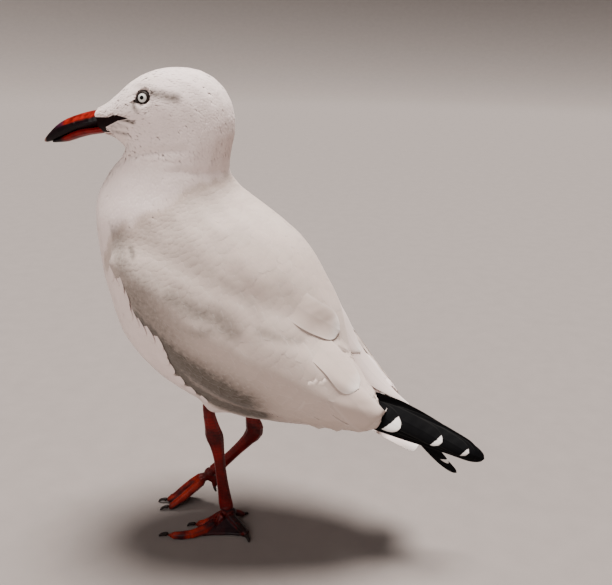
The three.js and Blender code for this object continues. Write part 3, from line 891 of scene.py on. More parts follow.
def make_coat(ground):
    middle = ground.middle
    zones = coat_zones(middle)
    face = np.linalg.norm(middle - BILL_ROOT, axis=1)
    thin = 1.0
    pieces = []
    head_size = (0.4 + 0.6 * smooth(4, 34, face)) * (0.5 + 0.5 * smooth(4.0, 10, eye_gap(middle)))
    plans = {
        # zone: spacing, length, width, spread, thickness
        "head": (0.98, 4.6, 1.7, 0.06, 0.035),
        "neck": (1.15, 7.0, 2.4, 0.06, 0.04),
        "breast": (1.3, 8.0, 3.0, 0.07, 0.04),
        "belly": (1.4, 8.0, 3.2, 0.09, 0.04),
        "thighs": (1.0, 4.6, 1.7, 0.1, 0.04),
        "mantle": (2.5, 15.0, 8.0, 0.05, 0.045),
        "wing_l": (2.5, 15.0, 8.0, 0.07, 0.05),
        "wing_r": (2.5, 15.0, 8.0, 0.07, 0.05),
    }
    for zone, (spacing, length, width, spread, thick) in plans.items():
        broad = zone in ("mantle", "wing_l", "wing_r")
        size = np.ones(len(middle))
        if zone == "head":
            size = head_size
        if broad:
            size = vane_size(middle)
        gaps = spacing * np.maximum(size, 0.5 if broad else 0.65) * (1.0 if broad else thin)
        roots, faces = ground.scatter((zones == zone) & ~bare(middle), gaps)
        plumes = Plumes()
        own = size[faces]
        lengths = length * own * rng.uniform(0.88, 1.12, len(roots))
        widths = width * own * rng.uniform(0.88, 1.12, len(roots)) * (1.0 if broad else thin)
        plant_vanes(plumes, ground, roots, faces, lengths, widths, spread, thick, BROAD if broad else SMALL,
                    lift=0.08 if zone.startswith("wing") else 0.0)
        pieces.append(plumes.build(f"coat_{zone}"))
    return pieces


# White breast feathers that lap over the front of each wing: tip in the side view, heading, length, width.
RUFFLE = [
    ((-47, 172.3), (0.85, -0.4), 14, 11), ((-42.5, 169.5), (0.7, -0.7), 17, 13),
    ((-39.8, 164.5), (0.5, -0.87), 19, 13), ((-39.6, 159), (0.4, -0.92), 18, 12),
    ((-41.6, 153.5), (0.3, -0.95), 16, 11), ((-38, 148.8), (0.7, -0.7), 18, 12),
    ((-33.5, 145.8), (0.75, -0.66), 19, 13), ((-28.6, 142.6), (0.75, -0.66), 20, 13),
    ((-24.4, 138.4), (0.65, -0.76), 20, 13), ((-22, 133), (0.5, -0.87), 19, 12),
    ((-22.6, 127), (0.35, -0.93), 17, 11), ((-23.4, 121), (0.3, -0.95), 15, 10),
    ((-20.6, 114.6), (0.4, -0.92), 14, 9), ((-15.6, 107), (0.5, -0.87), 12, 8),
    ((-9.6, 100), (0.6, -0.8), 11, 7), ((-2.6, 94), (0.7, -0.7), 10, 6),
]


def make_ruffle(ground):
    """Lapping feathers on both sides, each laid back from its tip along its heading."""
    plumes = Plumes()
    for side in SIDES.values():
        roots, headings, faces = [], [], []
        for tip, heading, length, _ in RUFFLE:
            start = np.array(tip) - unit(np.array(heading)) * length
            place, normal, face = ground.from_side(start, side)
            normal = np.array(normal)
            flat = np.array([heading[0], 0, heading[1]])
            roots.append(place)
            headings.append(unit(flat - normal * (flat @ normal)))
            faces.append(face)
        length = np.array([row[2] for row in RUFFLE], float)
        width = np.array([row[3] for row in RUFFLE], float)
        plant_vanes(plumes, ground, np.array(roots), np.array(faces), length, width, 0.0, 0.08, BROAD,
                    lift=0.95, heading=np.array(headings))
    for name in ("grey", "dull"):
        plumes.values[name] = [np.zeros_like(part) for part in plumes.values[name]]
    return plumes.build("ruffle")


# ---------- flight feathers ----------

def blur(field, rounds):
    for _ in range(rounds):
        padded = np.pad(field, 1, mode="edge")
        field = (padded[:-2, 1:-1] + padded[2:, 1:-1] + padded[1:-1, :-2] + padded[1:-1, 2:] + 2 * field) / 6
    return field


FIELD_START = 300.0  # outside the bird, where the rays that sound out a height field start
FILL_ROUNDS = 90
FACING = 0.4


class Flank:
    """The outer side of some solids as a smooth height field, carried on past their edges."""

    def __init__(self, nodes, side, low, high, soft, along=(0, 2)):
        """The field is over two axes, within low and high, and its height is along the third."""
        mesh = one_surface("flank", nodes, 0.9, 0.1, 2)
        tree = tree_of(mesh)
        bpy.data.meshes.remove(mesh)
        self.low = np.array(low, float)
        self.side = side
        self.along = along
        self.out = 3 - sum(along)
        self.shape = (int(high[0] - low[0]) + 1, int(high[1] - low[1]) + 1)
        away = np.zeros(3)
        away[self.out] = side
        known = np.zeros(self.shape, bool)
        field = np.zeros(self.shape)
        start = np.zeros(3)
        start[self.out] = side * FIELD_START
        for i in range(self.shape[0]):
            for j in range(self.shape[1]):
                start[along[0]] = low[0] + i
                start[along[1]] = low[1] + j
                place, normal, _, _ = tree.ray_cast(Vector(start), Vector(-away), 2 * FIELD_START)
                if place is not None and normal[self.out] * side > FACING:
                    field[i, j] = place[self.out] * side
                    known[i, j] = True
        fill = field.copy()
        share = known.astype(float)
        for _ in range(FILL_ROUNDS):
            fill, share = blur(fill, 1), blur(share, 1)
            found = share > 1e-6
            fill[found] /= share[found]
            share = found.astype(float)
            fill[known], share[known] = field[known], 1.0
        self.field = blur(fill, soft)
        self.slope = np.gradient(self.field)

    def __call__(self, flat):
        """Places and normals on the field at flat places."""
        spot = np.clip(flat - self.low, 0, np.array(self.shape) - 1.001)
        cell = spot.astype(int)
        part = spot - cell
        i, j = cell.T

        def sample(field):
            low = field[i, j] * (1 - part[:, 0]) + field[i + 1, j] * part[:, 0]
            high = field[i, j + 1] * (1 - part[:, 0]) + field[i + 1, j + 1] * part[:, 0]
            return low * (1 - part[:, 1]) + high * part[:, 1]

        places = np.empty((len(flat), 3))
        places[:, self.along[0]] = flat[:, 0]
        places[:, self.along[1]] = flat[:, 1]
        places[:, self.out] = self.side * sample(self.field)
        normals = np.empty((len(flat), 3))
        normals[:, self.along[0]] = -sample(self.slope[0])
        normals[:, self.along[1]] = -sample(self.slope[1])
        normals[:, self.out] = self.side
        return places, unit(normals)


QUILL_STATIONS = 40
# Corners of a quill's top from its shaft to its rim, and how high each stands.
HALF_ACROSS = np.array([0.05, 0.16, 0.3, 0.44, 0.58, 0.72, 0.86, 1.0])
HALF_TOP = np.array([1.1, 0.92, 0.9, 0.86, 0.8, 0.7, 0.5, 0.1])
QUILL_ACROSS = np.concatenate([-HALF_ACROSS[::-1], HALF_ACROSS])
QUILL_TOP = np.concatenate([HALF_TOP[::-1], HALF_TOP])
QUILL_ROUND = np.concatenate([QUILL_ACROSS, QUILL_ACROSS[::-1]])
QUILL_RIMS = (0, len(QUILL_ACROSS) - 1, len(QUILL_ACROSS), len(QUILL_ROUND) - 1)
QUILL_BASE = 0.55  # width at the root, as a share of the full width
BARB_PITCH = 0.9
BARB_HEIGHT = 0.05
CHART_MARGIN = 0.02


def quill_axis(root, tip, bow):
    """The shaft in a flat view: how far along each station is, its place, the way, and the length."""
    root, tip = np.array(root, float), np.array(tip, float)
    way = tip - root
    length = np.linalg.norm(way)
    way /= length
    edge = np.array([-way[1], way[0]])
    t = np.sin(np.linspace(0, 1, QUILL_STATIONS) * math.pi / 2)
    t = 0.5 * t + 0.5 * np.linspace(0, 1, QUILL_STATIONS)
    middle = root + np.outer(t * length, way) + np.outer(bow * np.sin(t * math.pi), edge)
    return t, middle, edge, length


def quill_width(t, length, width, round_end):
    """Half the width at each station. round_end is how long the rounded end is, in widths."""
    end = min(round_end * width / length, 0.95)
    round_off = np.sqrt(np.clip(1 - (np.clip(t - 1 + end, 0, 1) / end) ** 2, 0.0004, 1))
    swell = QUILL_BASE + (1 - QUILL_BASE) * np.sin(np.clip(t / 0.6, 0, 1) * math.pi / 2)
    return width / 2 * swell * round_off


def on_flank(flank):
    """Lays a quill on a height field."""
    def lay(middle, edge, half):
        flat = middle[:, None, :] + half[:, None, None] * QUILL_ACROSS[None, :, None] * edge
        places, normals = flank(flat.reshape(-1, 2))
        shape = (*flat.shape[:2], 3)
        normals = normals.reshape(shape)
        return places.reshape(shape), unit(normals + normals.mean(axis=1, keepdims=True)), 0.0
    return lay


def over_skin(ground, side):
    """Lays a quill over the skin, from its shaft outwards, and straight on where the skin turns away."""
    def lay(middle, edge, half):
        shaft = np.empty((len(middle), 3))
        ups = np.empty((len(middle), 3))
        last = None
        for k, (x, z) in enumerate(middle):
            place, normal, _ = ground.from_side((x, z), side)
            if place is None:
                place, normal = Vector((x, last[0][1], z)), last[1]
            last = (place, normal)
            shaft[k], ups[k] = place, normal
        shaft[:, 1] = evened(shaft[:, 1], 4)
        ups = unit(evened(ups, 4))
        rows = np.zeros((len(middle), len(QUILL_ACROSS), 3))
        tops = np.zeros(rows.shape[:2])
        centre = len(QUILL_ACROSS) // 2
        for turn, order in ((1, range(centre, len(QUILL_ACROSS))), (-1, range(centre - 1, -1, -1))):
            here, up = shaft.copy(), ups.copy()
            outward = np.array([edge[0], 0, edge[1]]) * turn
            out = unit(outward - up * (up @ outward)[:, None])
            top = ground.nearest(here)[2]
            reached = 0.0
            for k in order:
                step = (abs(QUILL_ACROSS[k]) - reached) * half[:, None]
                reached = abs(QUILL_ACROSS[k])
                ahead = here + out * step
                place, normal, depth = ground.nearest(ahead)
                near = np.linalg.norm(place - ahead, axis=1) < 0.45 * step[:, 0] + 0.15
                facing = (np.sum(normal * up, axis=1) > 0.75) & (normal[:, 1] * side > 0.25)
                held = (near & facing)[:, None]
                here = np.where(held, place, ahead)
                up = np.where(held, unit(normal + up), up)
                top = np.where(held[:, 0], depth, top)
                tops[:, k] = top
                out = unit(out - up * np.sum(out * up, axis=1, keepdims=True))
                rows[:, k] = here
        rows = evened(rows, 3)
        normals = np.cross(np.gradient(rows, axis=0), np.gradient(rows, axis=1))
        normals *= np.sign(np.sum(normals * ups[:, None, :], axis=2, keepdims=True))
        return rows, unit(unit(normals) + ups[:, None, :]), tops
    return lay


def chart_grid(count):
    """Map places for a few large feathers, spread over a square of the map."""
    side = math.ceil(math.sqrt(count))
    cells = [np.array([k % side + 0.5, k // side + 0.5]) / side for k in range(count)]
    return [CHART_MARGIN + (1 - 2 * CHART_MARGIN) * cell for cell in cells]


def loft(top, under):
    """One closed quill from its top and its under side."""
    return np.concatenate([top, under[:, ::-1]], axis=1)[None]


def lay_quills(plumes, lay, quills, thick, grey=0.0, round_end=0.5, sink=0.0, spots=None):
    """Each quill is (root, tip, width, height of its level, bow). lay gives places, normals and base level.

    sink is how far the roots dip below their level, and spots how far the white reaches in from each tip."""
    chart = chart_grid(len(quills))
    for number, (root, tip, width, level, bow) in enumerate(quills):
        t, middle, edge, length = quill_axis(root, tip, bow)
        half = quill_width(t, length, width, round_end)
        places, normals, ground_level = lay(middle, edge, half)
        rise = level - sink * (1 - smooth(0.08, 0.68, t))
        rise = (rise[:, None] + ground_level)[..., None]
        out = np.abs(QUILL_ACROSS)[None, :]
        ripple = np.sin(t[:, None] * length * BARB_PITCH - out * half[:, None] * BARB_PITCH + number * 2)
        grain = BARB_HEIGHT * ripple * smooth(0.3, 0.6, t)[:, None] * (1 - out) ** 0.3
        top = places + normals * (rise + grain[..., None] + thick * QUILL_TOP[None, :, None])
        loop = loft(top, places + normals * (rise - 0.12))
        dull = soil_and_shade_at(loop.reshape(-1, 3)).reshape(loop.shape[:3]) * grey
        spot = spots[number] if spots else 0.0
        plumes.add(loop, t, QUILL_ROUND, chart[number][None], QUILL_RIMS, chance=rng.random(1),
                   to_tip=(length * (1 - t))[None, :], wide=half[None, :], grey=np.array([grey]),
                   spot=np.array([spot]), dull=dull)


# Tertials and secondaries, as root and tip in the side view, width, level and bow. The first lies lowest.
SECONDARIES = [
    ((30, 108), (59, 87.2), 10, 0.05, 0),
    ((40, 109), (71, 85.6), 11, 0.15, 0),
    ((50, 112), (82.5, 84.6), 12, 0.25, -0.4),
]
WING_QUILLS = {
    "left": [
        *SECONDARIES, ((54, 140), (99.8, 86.4), 20.5, 0.35, 0.6), ((42, 157), (85.5, 111), 20, 0.5, 0.6),
        ((32, 175), (72, 139.0), 19, 0.6, 0.4),
    ],
    "right": [
        *SECONDARIES, ((56, 139), (104, 87), 17, 0.3, 0.6), ((46, 152), (90, 105), 15, 0.5, 0.6),
        ((38, 168), (78, 125), 14, 0.6, 0.5), ((30, 182), (66, 142), 14, 0.7, 0.4),
    ],
}


# The right wing's long feathers where they pass over the rump: outer rim and inner rim, from root to tip.
OVER_RUMP = [
    (
        [(66, 0.5, 158), (74.2, 0, 146.2), (81.6, 0, 130.2), (88, 0, 120.6), (95, 0, 111.6),
         (104.2, 0, 98.6), (110, 0, 93.4), (114.4, -0.6, 90.0)],
        [(60, -8, 152), (70, -9.5, 137), (78, -10.5, 122), (85, -11, 111), (92.5, -10.5, 104),
         (99, -8.6, 100), (107, -5.4, 95), (114, -1.2, 89.4)],
    ),
    (
        [(60, 0.5, 168), (68, 0.5, 156.8), (75.6, 0.3, 144.6), (80.4, 0, 133.8), (83.6, -1, 127.4),
         (85, -3.4, 123.4)],
        [(56, -8, 160), (64, -9, 148), (71, -9.6, 136), (76.4, -9.6, 127.4), (80.6, -8.4, 122.8),
         (84.2, -4.4, 122.6)],
    ),
]


def along_line(line, t):
    """Places at the shares t of a bent line, with its corners rounded."""
    line = np.array(line, float)
    run = np.concatenate([[0], np.cumsum(np.linalg.norm(line[1:] - line[:-1], axis=1))])
    places = np.stack([np.interp(t * run[-1], run, line[:, k]) for k in range(3)], -1)
    return evened(places, 12)


# painted light: these feathers are kept paler than the wing's grey, for the bright strip over the back
OVER_RUMP_PAINTED_LIGHT_GREY = 0.35


def make_over_rump():
    plumes = Plumes()
    chart = chart_grid(len(OVER_RUMP))
    t = np.linspace(0, 1, QUILL_STATIONS)
    for number, (outer, inner) in enumerate(OVER_RUMP):
        outer, inner = along_line(outer, t), along_line(inner, t)
        share = ((QUILL_ACROSS + 1) / 2)[None, :, None]
        rows = inner[:, None] * (1 - share) + outer[:, None] * share
        normals = np.cross(np.gradient(rows, axis=0), np.gradient(rows, axis=1))
        normals = unit(normals * np.sign(normals[..., 2:]))
        width = np.linalg.norm(outer - inner, axis=1)
        rise = (0.5 * number + 0.07 * width[:, None] * (1 - QUILL_ACROSS ** 2))[..., None]
        top = rows + normals * (rise + 0.25 * QUILL_TOP[None, :, None])
        loop = loft(top, rows + normals * (rise - 0.15))
        length = np.linalg.norm(outer[-1] - outer[0])
        plumes.add(loop, t, QUILL_ROUND, chart[number][None], QUILL_RIMS, chance=rng.random(1),
                   to_tip=(length * (1 - t))[None, :], wide=width[None, :] / 2,
                   grey=np.array([OVER_RUMP_PAINTED_LIGHT_GREY]), dull=np.array([0.0]), spot=np.array([0.0]))
    return plumes.build("over_rump")


def make_wing_quills(ground):
    pieces = []
    for name, side in SIDES.items():
        plumes = Plumes()
        lay_quills(plumes, over_skin(ground, side), WING_QUILLS[name], thick=0.22, grey=1.0, sink=3.2)
        pieces.append(plumes.build(f"tertials_{name}"))
    return pieces


# Primaries, as root and tip in the side view, width, level and bow, and how far in each white tip reaches.
LEFT_HAND = [
    ((78, 108.4), (141, 74.4), 10, -0.1, 1.0),
    ((84, 94), (159.6, 66.4), 9.5, 0.0, 0.6),
    ((84, 99.6), (156.8, 67.4), 10.5, 0.15, 1.0),
    ((84, 97.5), (154.2, 68.4), 9, 0.4, 0.7),
    ((84, 99.5), (150.4, 69.8), 7.5, 0.65, 0.8),
    ((84, 101), (134.6, 75.8), 8, 0.9, 0.8),
    ((80, 103), (110.2, 85.6), 9.5, 1.15, 0.3),
]
LEFT_SPOTS = [0.0, 0.0, 0.0, 0.0, 2.2, 3.4, 6.0]
RIGHT_HAND = [
    ((92, 90), (144.4, 55.6), 6.5, 0.0, 0.2),
    ((92, 92), (139.6, 61.2), 5, 0.4, 0.4),
    ((90, 92), (124, 69.6), 8, 0.7, 0.3),
]
RIGHT_SPOTS = [0.0, 3.0, 0.0]


def make_hands():
    pieces = []
    plans = {"left": (LEFT_HAND, LEFT_SPOTS, 1.1), "right": (RIGHT_HAND, RIGHT_SPOTS, 2.4)}
    for name, (quills, spots, point) in plans.items():
        flank = Flank([f"primaries_{name}"], LEFT, (70, 44), (168, 116), 6)
        plumes = Plumes()
        lay_quills(plumes, on_flank(flank), quills, thick=0.35, round_end=point, spots=spots)
        pieces.append(plumes.build(f"primaries_{name}_vanes"))
    return pieces


def make_tail():
    flank = Flank(["tail"], 1, (70, -26), (130, 26), 4, (0, 1))
    low, high = node_box("tail")
    quills = []
    for k in (5, -5, 4, -4, 3, -3, 2, -2, 1, -1, 0):
        lean = k / 5
        root = (low[0] + 3, 1.6 * k)
        tip = (high[0] - 0.5 - 2.4 * lean ** 2, 13.0 * lean)
        quills.append((root, tip, 11.0, 0.25 * (5 - abs(k)), 0))
    plumes = Plumes()
    lay_quills(plumes, on_flank(flank), quills, thick=0.4, round_end=0.45)
    return plumes.build("tail_feathers")


# ---------- bill ----------

NOSTRIL = 0.55  # depth and half the width of the slit


def make_bill():
    pieces = []
    for name in ("upper", "lower"):
        mesh = one_surface(f"bill_{name}_horn", [f"bill_{name}"], 0.34, 0.22, 3)
        points = points_of(mesh)
        normals = normals_of(mesh)
        reach = (BILL_ROOT[0] - points[:, 0]) / (BILL_ROOT[0] - BILL_TIP[0])
        if name == "upper":
            groove, _ = line_distance(side_view(points), [(-72, 254.6), (-79, 252.6)])
            outer = smooth(1.5, 3, np.abs(points[:, 1]))
            dent = NOSTRIL * np.exp(-(groove / NOSTRIL) ** 2) * outer
            points = points - normals * dent[:, None]
        set_points(mesh, points)
        set_value(mesh, "reach", reach)
        set_value(mesh, "upper", np.full(len(points), float(name == "upper")))
        pieces.append(new_piece(f"bill_{name}_horn", mesh))
    return pieces


# ---------- eyes ----------

IRIS_RADIUS = 2.45
PUPIL_RADIUS = 1.15
LID_OUTER = 3.65
LID_START = 12.0  # how far out the rays start that find the face under the lids
LID_LEVEL = 2.5  # where they find none
FRONT_CORNER = math.radians(-20)
REAR_CORNER = math.radians(176)


def eye_axes(side):
    """Where an eye looks, and the ways forward and up across it."""
    look = LOOK * np.array([1, side, 1])
    ahead = np.array([-1.0, 0, 0])
    forward = unit(ahead - look * (look @ ahead))
    up = np.cross(look, forward)
    return look, forward, up * np.sign(up[2])


def make_eyes(ground):
    pieces = {}
    for name, side in SIDES.items():
        look, forward, up = eye_axes(side)
        rings, sides = 40, 64
        theta = np.linspace(0.004, math.pi - 0.004, rings)
        phi = np.arange(sides) / sides * 2 * math.pi
        cornea = 0.35 * np.exp(-(theta / 0.5) ** 2)
        radius = EYE_RADIUS * 0.985 + cornea
        flat = radius * np.sin(theta)
        depth = radius * np.cos(theta)
        spread = np.cos(phi)[None, :, None] * forward + np.sin(phi)[None, :, None] * up
        loops = EYE[name] + depth[:, None, None] * look + flat[:, None, None] * spread
        if np.dot(np.cross(forward, up), look) > 0:
            loops = loops[:, ::-1]
        plumes = Plumes()
        centre = np.array([[0.5, 0.5]])
        plumes.add(loops[None], np.linspace(0, 1, rings), np.sin(phi), centre, ring=flat[None, :])
        ball = plumes.build(f"eyeball_{name}")
        unwrap(ball)
        pieces[name] = (ball, make_lids(ground, name, look, forward, up))
    return pieces


def bump_round(phi, centre, width):
    turn = (phi - centre + math.pi) % (2 * math.pi) - math.pi
    return np.exp(-(turn / width) ** 2)


def make_lids(ground, name, look, forward, up):
    """A thin dark rim round the eye, drawn out to a point in front, lying on the face."""
    steps, corners = 120, 12
    phi = np.arange(steps) / steps * 2 * math.pi
    front = bump_round(phi, FRONT_CORNER, 0.34)
    rear = bump_round(phi, REAR_CORNER, 0.4)
    inner = IRIS_RADIUS + 0.02 + 0.1 * front
    outer = LID_OUTER + 2.0 * front + 0.9 * rear
    section = np.arange(corners) / corners * 2 * math.pi
    flat = ((inner + outer) / 2)[:, None] + ((outer - inner) / 2)[:, None] * np.cos(section)[None, :]
    spread = np.cos(phi)[:, None, None] * forward + np.sin(phi)[:, None, None] * up
    base = EYE[name] + flat[..., None] * spread
    level = np.empty(flat.shape)
    for i in range(steps):
        for k in range(corners):
            hit = ground.tree.ray_cast(Vector(base[i, k] + look * LID_START), Vector(-look), LID_START + 2)
            level[i, k] = LID_START - hit[3] if hit[3] is not None else LID_LEVEL
    ball = np.sqrt(np.maximum(EYE_RADIUS ** 2 - np.minimum(flat, EYE_RADIUS) ** 2, 0))
    rest = np.where(flat < LID_OUTER, np.maximum(ball, level), level)
    rest = (rest + np.roll(rest, 1, 0) + np.roll(rest, -1, 0)) / 3
    depth = rest + 0.12 + 0.4 * np.sin(section)[None, :] * (1 - 0.45 * np.maximum(front, rear)[:, None])
    loops = base + depth[..., None] * look
    index = np.arange(steps * corners).reshape(steps, corners)
    onward = np.roll(index, -1, axis=0)
    square = [index, onward, np.roll(onward, -1, axis=1), np.roll(index, -1, axis=1)]
    quads = np.stack(square, -1).reshape(-1, 4)
    if np.dot(np.cross(forward, up), look) < 0:
        quads = quads[:, ::-1]
    mesh = make_mesh(f"lids_{name}", loops.reshape(-1, 3), [quads])
    return new_piece(f"lids_{name}", mesh)


# ---------- legs ----------

TOES = ("inner", "middle", "outer", "hind")
KNEE = {"left": np.array([-4.2, -9.8, 63.0]), "right": np.array([15.6, 14.6, 57.0])}
ANKLE = {"left": np.array([1.4, -8.3, 8.5]), "right": np.array([-15.5, 14.0, 20.4])}
LEG_REACH = 6.0  # how far the top of each leg runs up into the plumage
# Places and radii that fill out the ankle where the toes meet.
KNOTS = {
    "left": [
        ((1.5, -8.6, 11.0), 3.7), ((1.8, -8.5, 8.4), 3.9), ((4.6, -7.6, 7.0), 2.9),
        ((-0.8, -10.6, 6.2), 3.0), ((3.4, -10.2, 6.0), 2.6),
    ],
    "right": [((-15.4, 14.0, 20.4), 3.8), ((-14.2, 13.9, 17.6), 3.2), ((-17.8, 14.0, 18.0), 3.2)],
}
# Where the toes bend between the ankle and the claw.
TOE_BENDS = {
    "left": {
        "inner": [(-4.0, -12.0, 5.0), (-10.5, -15.2, 2.2)],
        "middle": [(-2.8, -16.0, 6.0), (-9.0, -23.4, 3.4), (-17.0, -28.2, 2.0)],
        "outer": [(6.8, -12.6, 4.4), (12.0, -16.6, 2.4)],
    },
    "right": {"middle": [(-31.0, 10.2, 10.4)], "inner": [(-29.6, 4.2, 8.2)], "outer": [(-29.6, 15.4, 8.6)]},
}


SHANK_SCALE = 2.1
TOE_SCALE = 1.5


def make_legs():
    pieces = []
    for name in SIDES:
        mesh = one_surface(f"leg_{name}", [f"tarsus_{name}", f"foot_{name}"], 0.42, 0.45, 4, KNOTS[name])
        points = points_of(mesh)
        normals = normals_of(mesh)
        _, high = node_box(f"tarsus_{name}")
        root = centre_of(f"tarsus_{name}")
        lines = [np.array([(KNEE[name][0], root[1], high[2]), KNEE[name], ANKLE[name]])]
        for toe in TOES:
            bends = TOE_BENDS[name].get(toe, [])
            lines.append(np.array([ANKLE[name], *bends, centre_of(f"claw_{name}_{toe}")]))
        claws = np.array([line[-1] for line in lines[1:]])
        gaps = []
        places = []
        for line in lines:
            gap, place = line_distance(points, line)
            gaps.append(gap)
            places.append(place * np.linalg.norm(line[1:] - line[:-1], axis=1).sum())
        gaps = np.stack(gaps)
        pick = gaps.argmin(0)
        place = np.stack(places)[pick, np.arange(len(points))]
        gap = gaps.min(0)
        web = smooth(2.7, 3.4, gap) * (pick > 0) * smooth(15, 12, points[:, 2])
        knot = np.exp(-(np.linalg.norm(points - KNEE[name], axis=1) / 6.5) ** 2)
        knot = np.maximum(knot, 0.8 * np.exp(-(np.linalg.norm(points - ANKLE[name], axis=1) / 5.5) ** 2))
        tips = smooth(9.0, 3.0, np.linalg.norm(points[:, None] - claws[None], axis=2).min(1))
        spacing = np.where(pick == 0, SHANK_SCALE, TOE_SCALE)
        phase = place / spacing
        ring = np.abs(phase - np.floor(phase) - 0.5) * 2
        grooves = smooth(0.72, 1.0, ring) * (1 - web)
        sole = smooth(0.5, 0.2, points[:, 2])
        points = points - normals * (0.16 * grooves * (1 - sole))[:, None]
        points[:, 2] = np.maximum(points[:, 2], 0.0)
        top = points[:, 2].max()
        upward = unit(points[points[:, 2] > top - 1.5].mean(axis=0) - KNEE[name])
        points += upward * (LEG_REACH * smooth(top - 4.5, top - 0.5, points[:, 2]))[:, None]
        set_points(mesh, points)
        set_value(mesh, "groove", grooves)
        set_value(mesh, "web", web)
        # painted shade along the hind toe, kept with the dark joints in one value
        shaded = (pick == 3) * smooth(2.0, 5.0, place)
        set_value(mesh, "knot", np.maximum(knot, np.maximum(0.6 * tips, shaded)))
        # the middle and inner toes, away from the ankle, are where the painted orange highlight goes
        set_value(mesh, "toe", smooth(3.0, 12.0, place) * ((pick == 1) | (pick == 2)))
        pieces.append(new_piece(f"leg_{name}", mesh))
    return pieces


def make_claws():
    pieces = []
    for name in SIDES:
        nodes = [f"claw_{name}_{toe}" for toe in TOES]
        mesh = one_surface(f"claws_{name}", nodes, 0.16, 0.2, 2)
        points = points_of(mesh)
        for toe in TOES:
            low, high = node_box(f"claw_{name}_{toe}")
            mine = np.all((points > low - 1) & (points < high + 1), axis=1)
            inward = ANKLE[name] - (low + high) / 2
            inward = inward * np.array([1, 1, 0]) if toe != "hind" or name == "left" else inward
            inward = unit(inward)
            place = (points[mine] - (low + high) / 2) @ inward
            points[mine] += inward * (1.3 * smooth(-1.5, 2.0, place))[:, None]
        points[:, 2] = np.maximum(points[:, 2], 0.0)
        set_points(mesh, points)
        pieces.append(new_piece(f"claws_{name}", mesh))
    return pieces


# ---------- finishes ----------

WHITE_PLUMAGE = (0.90, 0.745, 0.71)
GREY_PLUMAGE = (0.58, 0.455, 0.40)
# the dark of the markings, the soiling and the painted shade
SOIL_AND_SHADE_PLUMAGE = (0.075, 0.056, 0.039)


def feather_colour(made):
    """White or grey plumage with soft clouding, the markings, the soiling and the painted shade, the same on
    the skin and the coat.
    """
    colour = made.mix(made.value("grey"), WHITE_PLUMAGE, GREY_PLUMAGE)
    colour = made.mix((made.noise(45, 3) - 0.5) * 0.5 + 0.1, colour, (0.62, 0.53, 0.47))
    streaks = made.noise(420, 2)
    # the markings, soiling and painted shade, broken by fine streaks
    return made.mix(made.value("dull") * (0.55 + 0.9 * streaks), colour, SOIL_AND_SHADE_PLUMAGE), streaks


def skin_finish():
    made = Finish("skin_plumage", roughness=0.8, Specular_IOR_Level=0.06)
    colour, streaks = feather_colour(made)
    gape = made.value("gape").ramp(-0.15, 0.15)
    horny = made.mix(streaks, (0.0015, 0.0006, 0.0008), (0.010, 0.0015, 0.002))
    colour = made.mix(gape, colour, horny)
    return made.feed(Base_Color=colour, Roughness=0.8 - gape * 0.25, Normal=made.bump(streaks, 0.3, 0.3))


def tuft_finish():
    """The small soft feathers of the white parts."""
    made = Finish("tuft_plumage", roughness=0.8, Specular_IOR_Level=0.12, Sheen_Weight=0.15,
                  Sheen_Roughness=0.5)
    colour, streaks = feather_colour(made)
    across = abs(made.value("across"))
    barbs = (made.value("to_tip") * 9 + across * made.value("wide") * 9).wave()
    # random tone by feather, and painted shade towards each tuft's side edges
    tone_and_edge_shade = 0.04 * made.value("chance") + 0.03 * across
    colour = made.mix(tone_and_edge_shade, colour, (0.30, 0.26, 0.24))
    return made.feed(Base_Color=colour, Normal=made.bump(barbs * 0.5 + streaks, 0.08, 0.1))


def vane_finish(name, tip):
    """A broad feather with barbs running out from its shaft, paler at the rim by the share given."""
    made = Finish(name, roughness=0.7, Specular_IOR_Level=0.15, Sheen_Weight=0.1)
    colour, streaks = feather_colour(made)
    across = abs(made.value("across"))
    to_tip = made.value("to_tip")
    barbs = (to_tip * 8 + across * made.value("wide") * 8 + streaks * 4).wave()
    shaft = 1 - across.ramp(0.03, 0.1)
    rim = across.ramp(0.75, 1.0) * 0.12 + (1 - to_tip.ramp(0.0, 9.0)) * tip
    colour = made.mix(made.value("chance") * 0.08 + (barbs + 1) * 0.015, colour, (0.30, 0.26, 0.24))
    colour = made.mix(rim, colour, (0.88, 0.83, 0.80))
    colour = made.mix(shaft * 0.12, colour, (0.40, 0.35, 0.32))
    height = barbs * 0.4 + shaft * 0.5 + streaks * 0.5
    return made.feed(Base_Color=colour, Normal=made.bump(height, 0.12, 0.12))


def hand_finish():
    made = Finish("black_quills", roughness=0.6, Specular_IOR_Level=0.05)
    across = made.value("across")
    size = made.value("spot")
    fine = made.noise(500, 2)
    reach = made.value("to_tip") + across * made.value("wide") * 0.7 + (fine - 0.5) * 1.4
    spot = (1 - (reach - size).ramp(-0.25, 0.25)) * size.ramp(0.1, 0.4)
    colour = made.mix(made.noise(80, 3) * 0.5, (0.0015, 0.0015, 0.002), (0.005, 0.0045, 0.0045))
    rim = abs(across).ramp(0.9, 1.0)
    colour = made.mix(rim * 0.04, colour, (0.25, 0.23, 0.21))
    colour = made.mix(spot, colour, (0.76, 0.70, 0.67))
    barbs = (made.value("to_tip") * 9 + abs(across) * made.value("wide") * 7 + fine * 3).wave()
    shaft = 1 - abs(across).ramp(0.03, 0.09)
    normal = made.bump(barbs * 0.4 + shaft, 0.25, 0.15)
    roughness = 0.45 + fine * 0.2
    return made.feed(Base_Color=colour, Normal=normal, Roughness=roughness)


RIDGE_LEVEL = 0.2559  # the height of the upper edge of the red, in metres, where the bill leaves the face


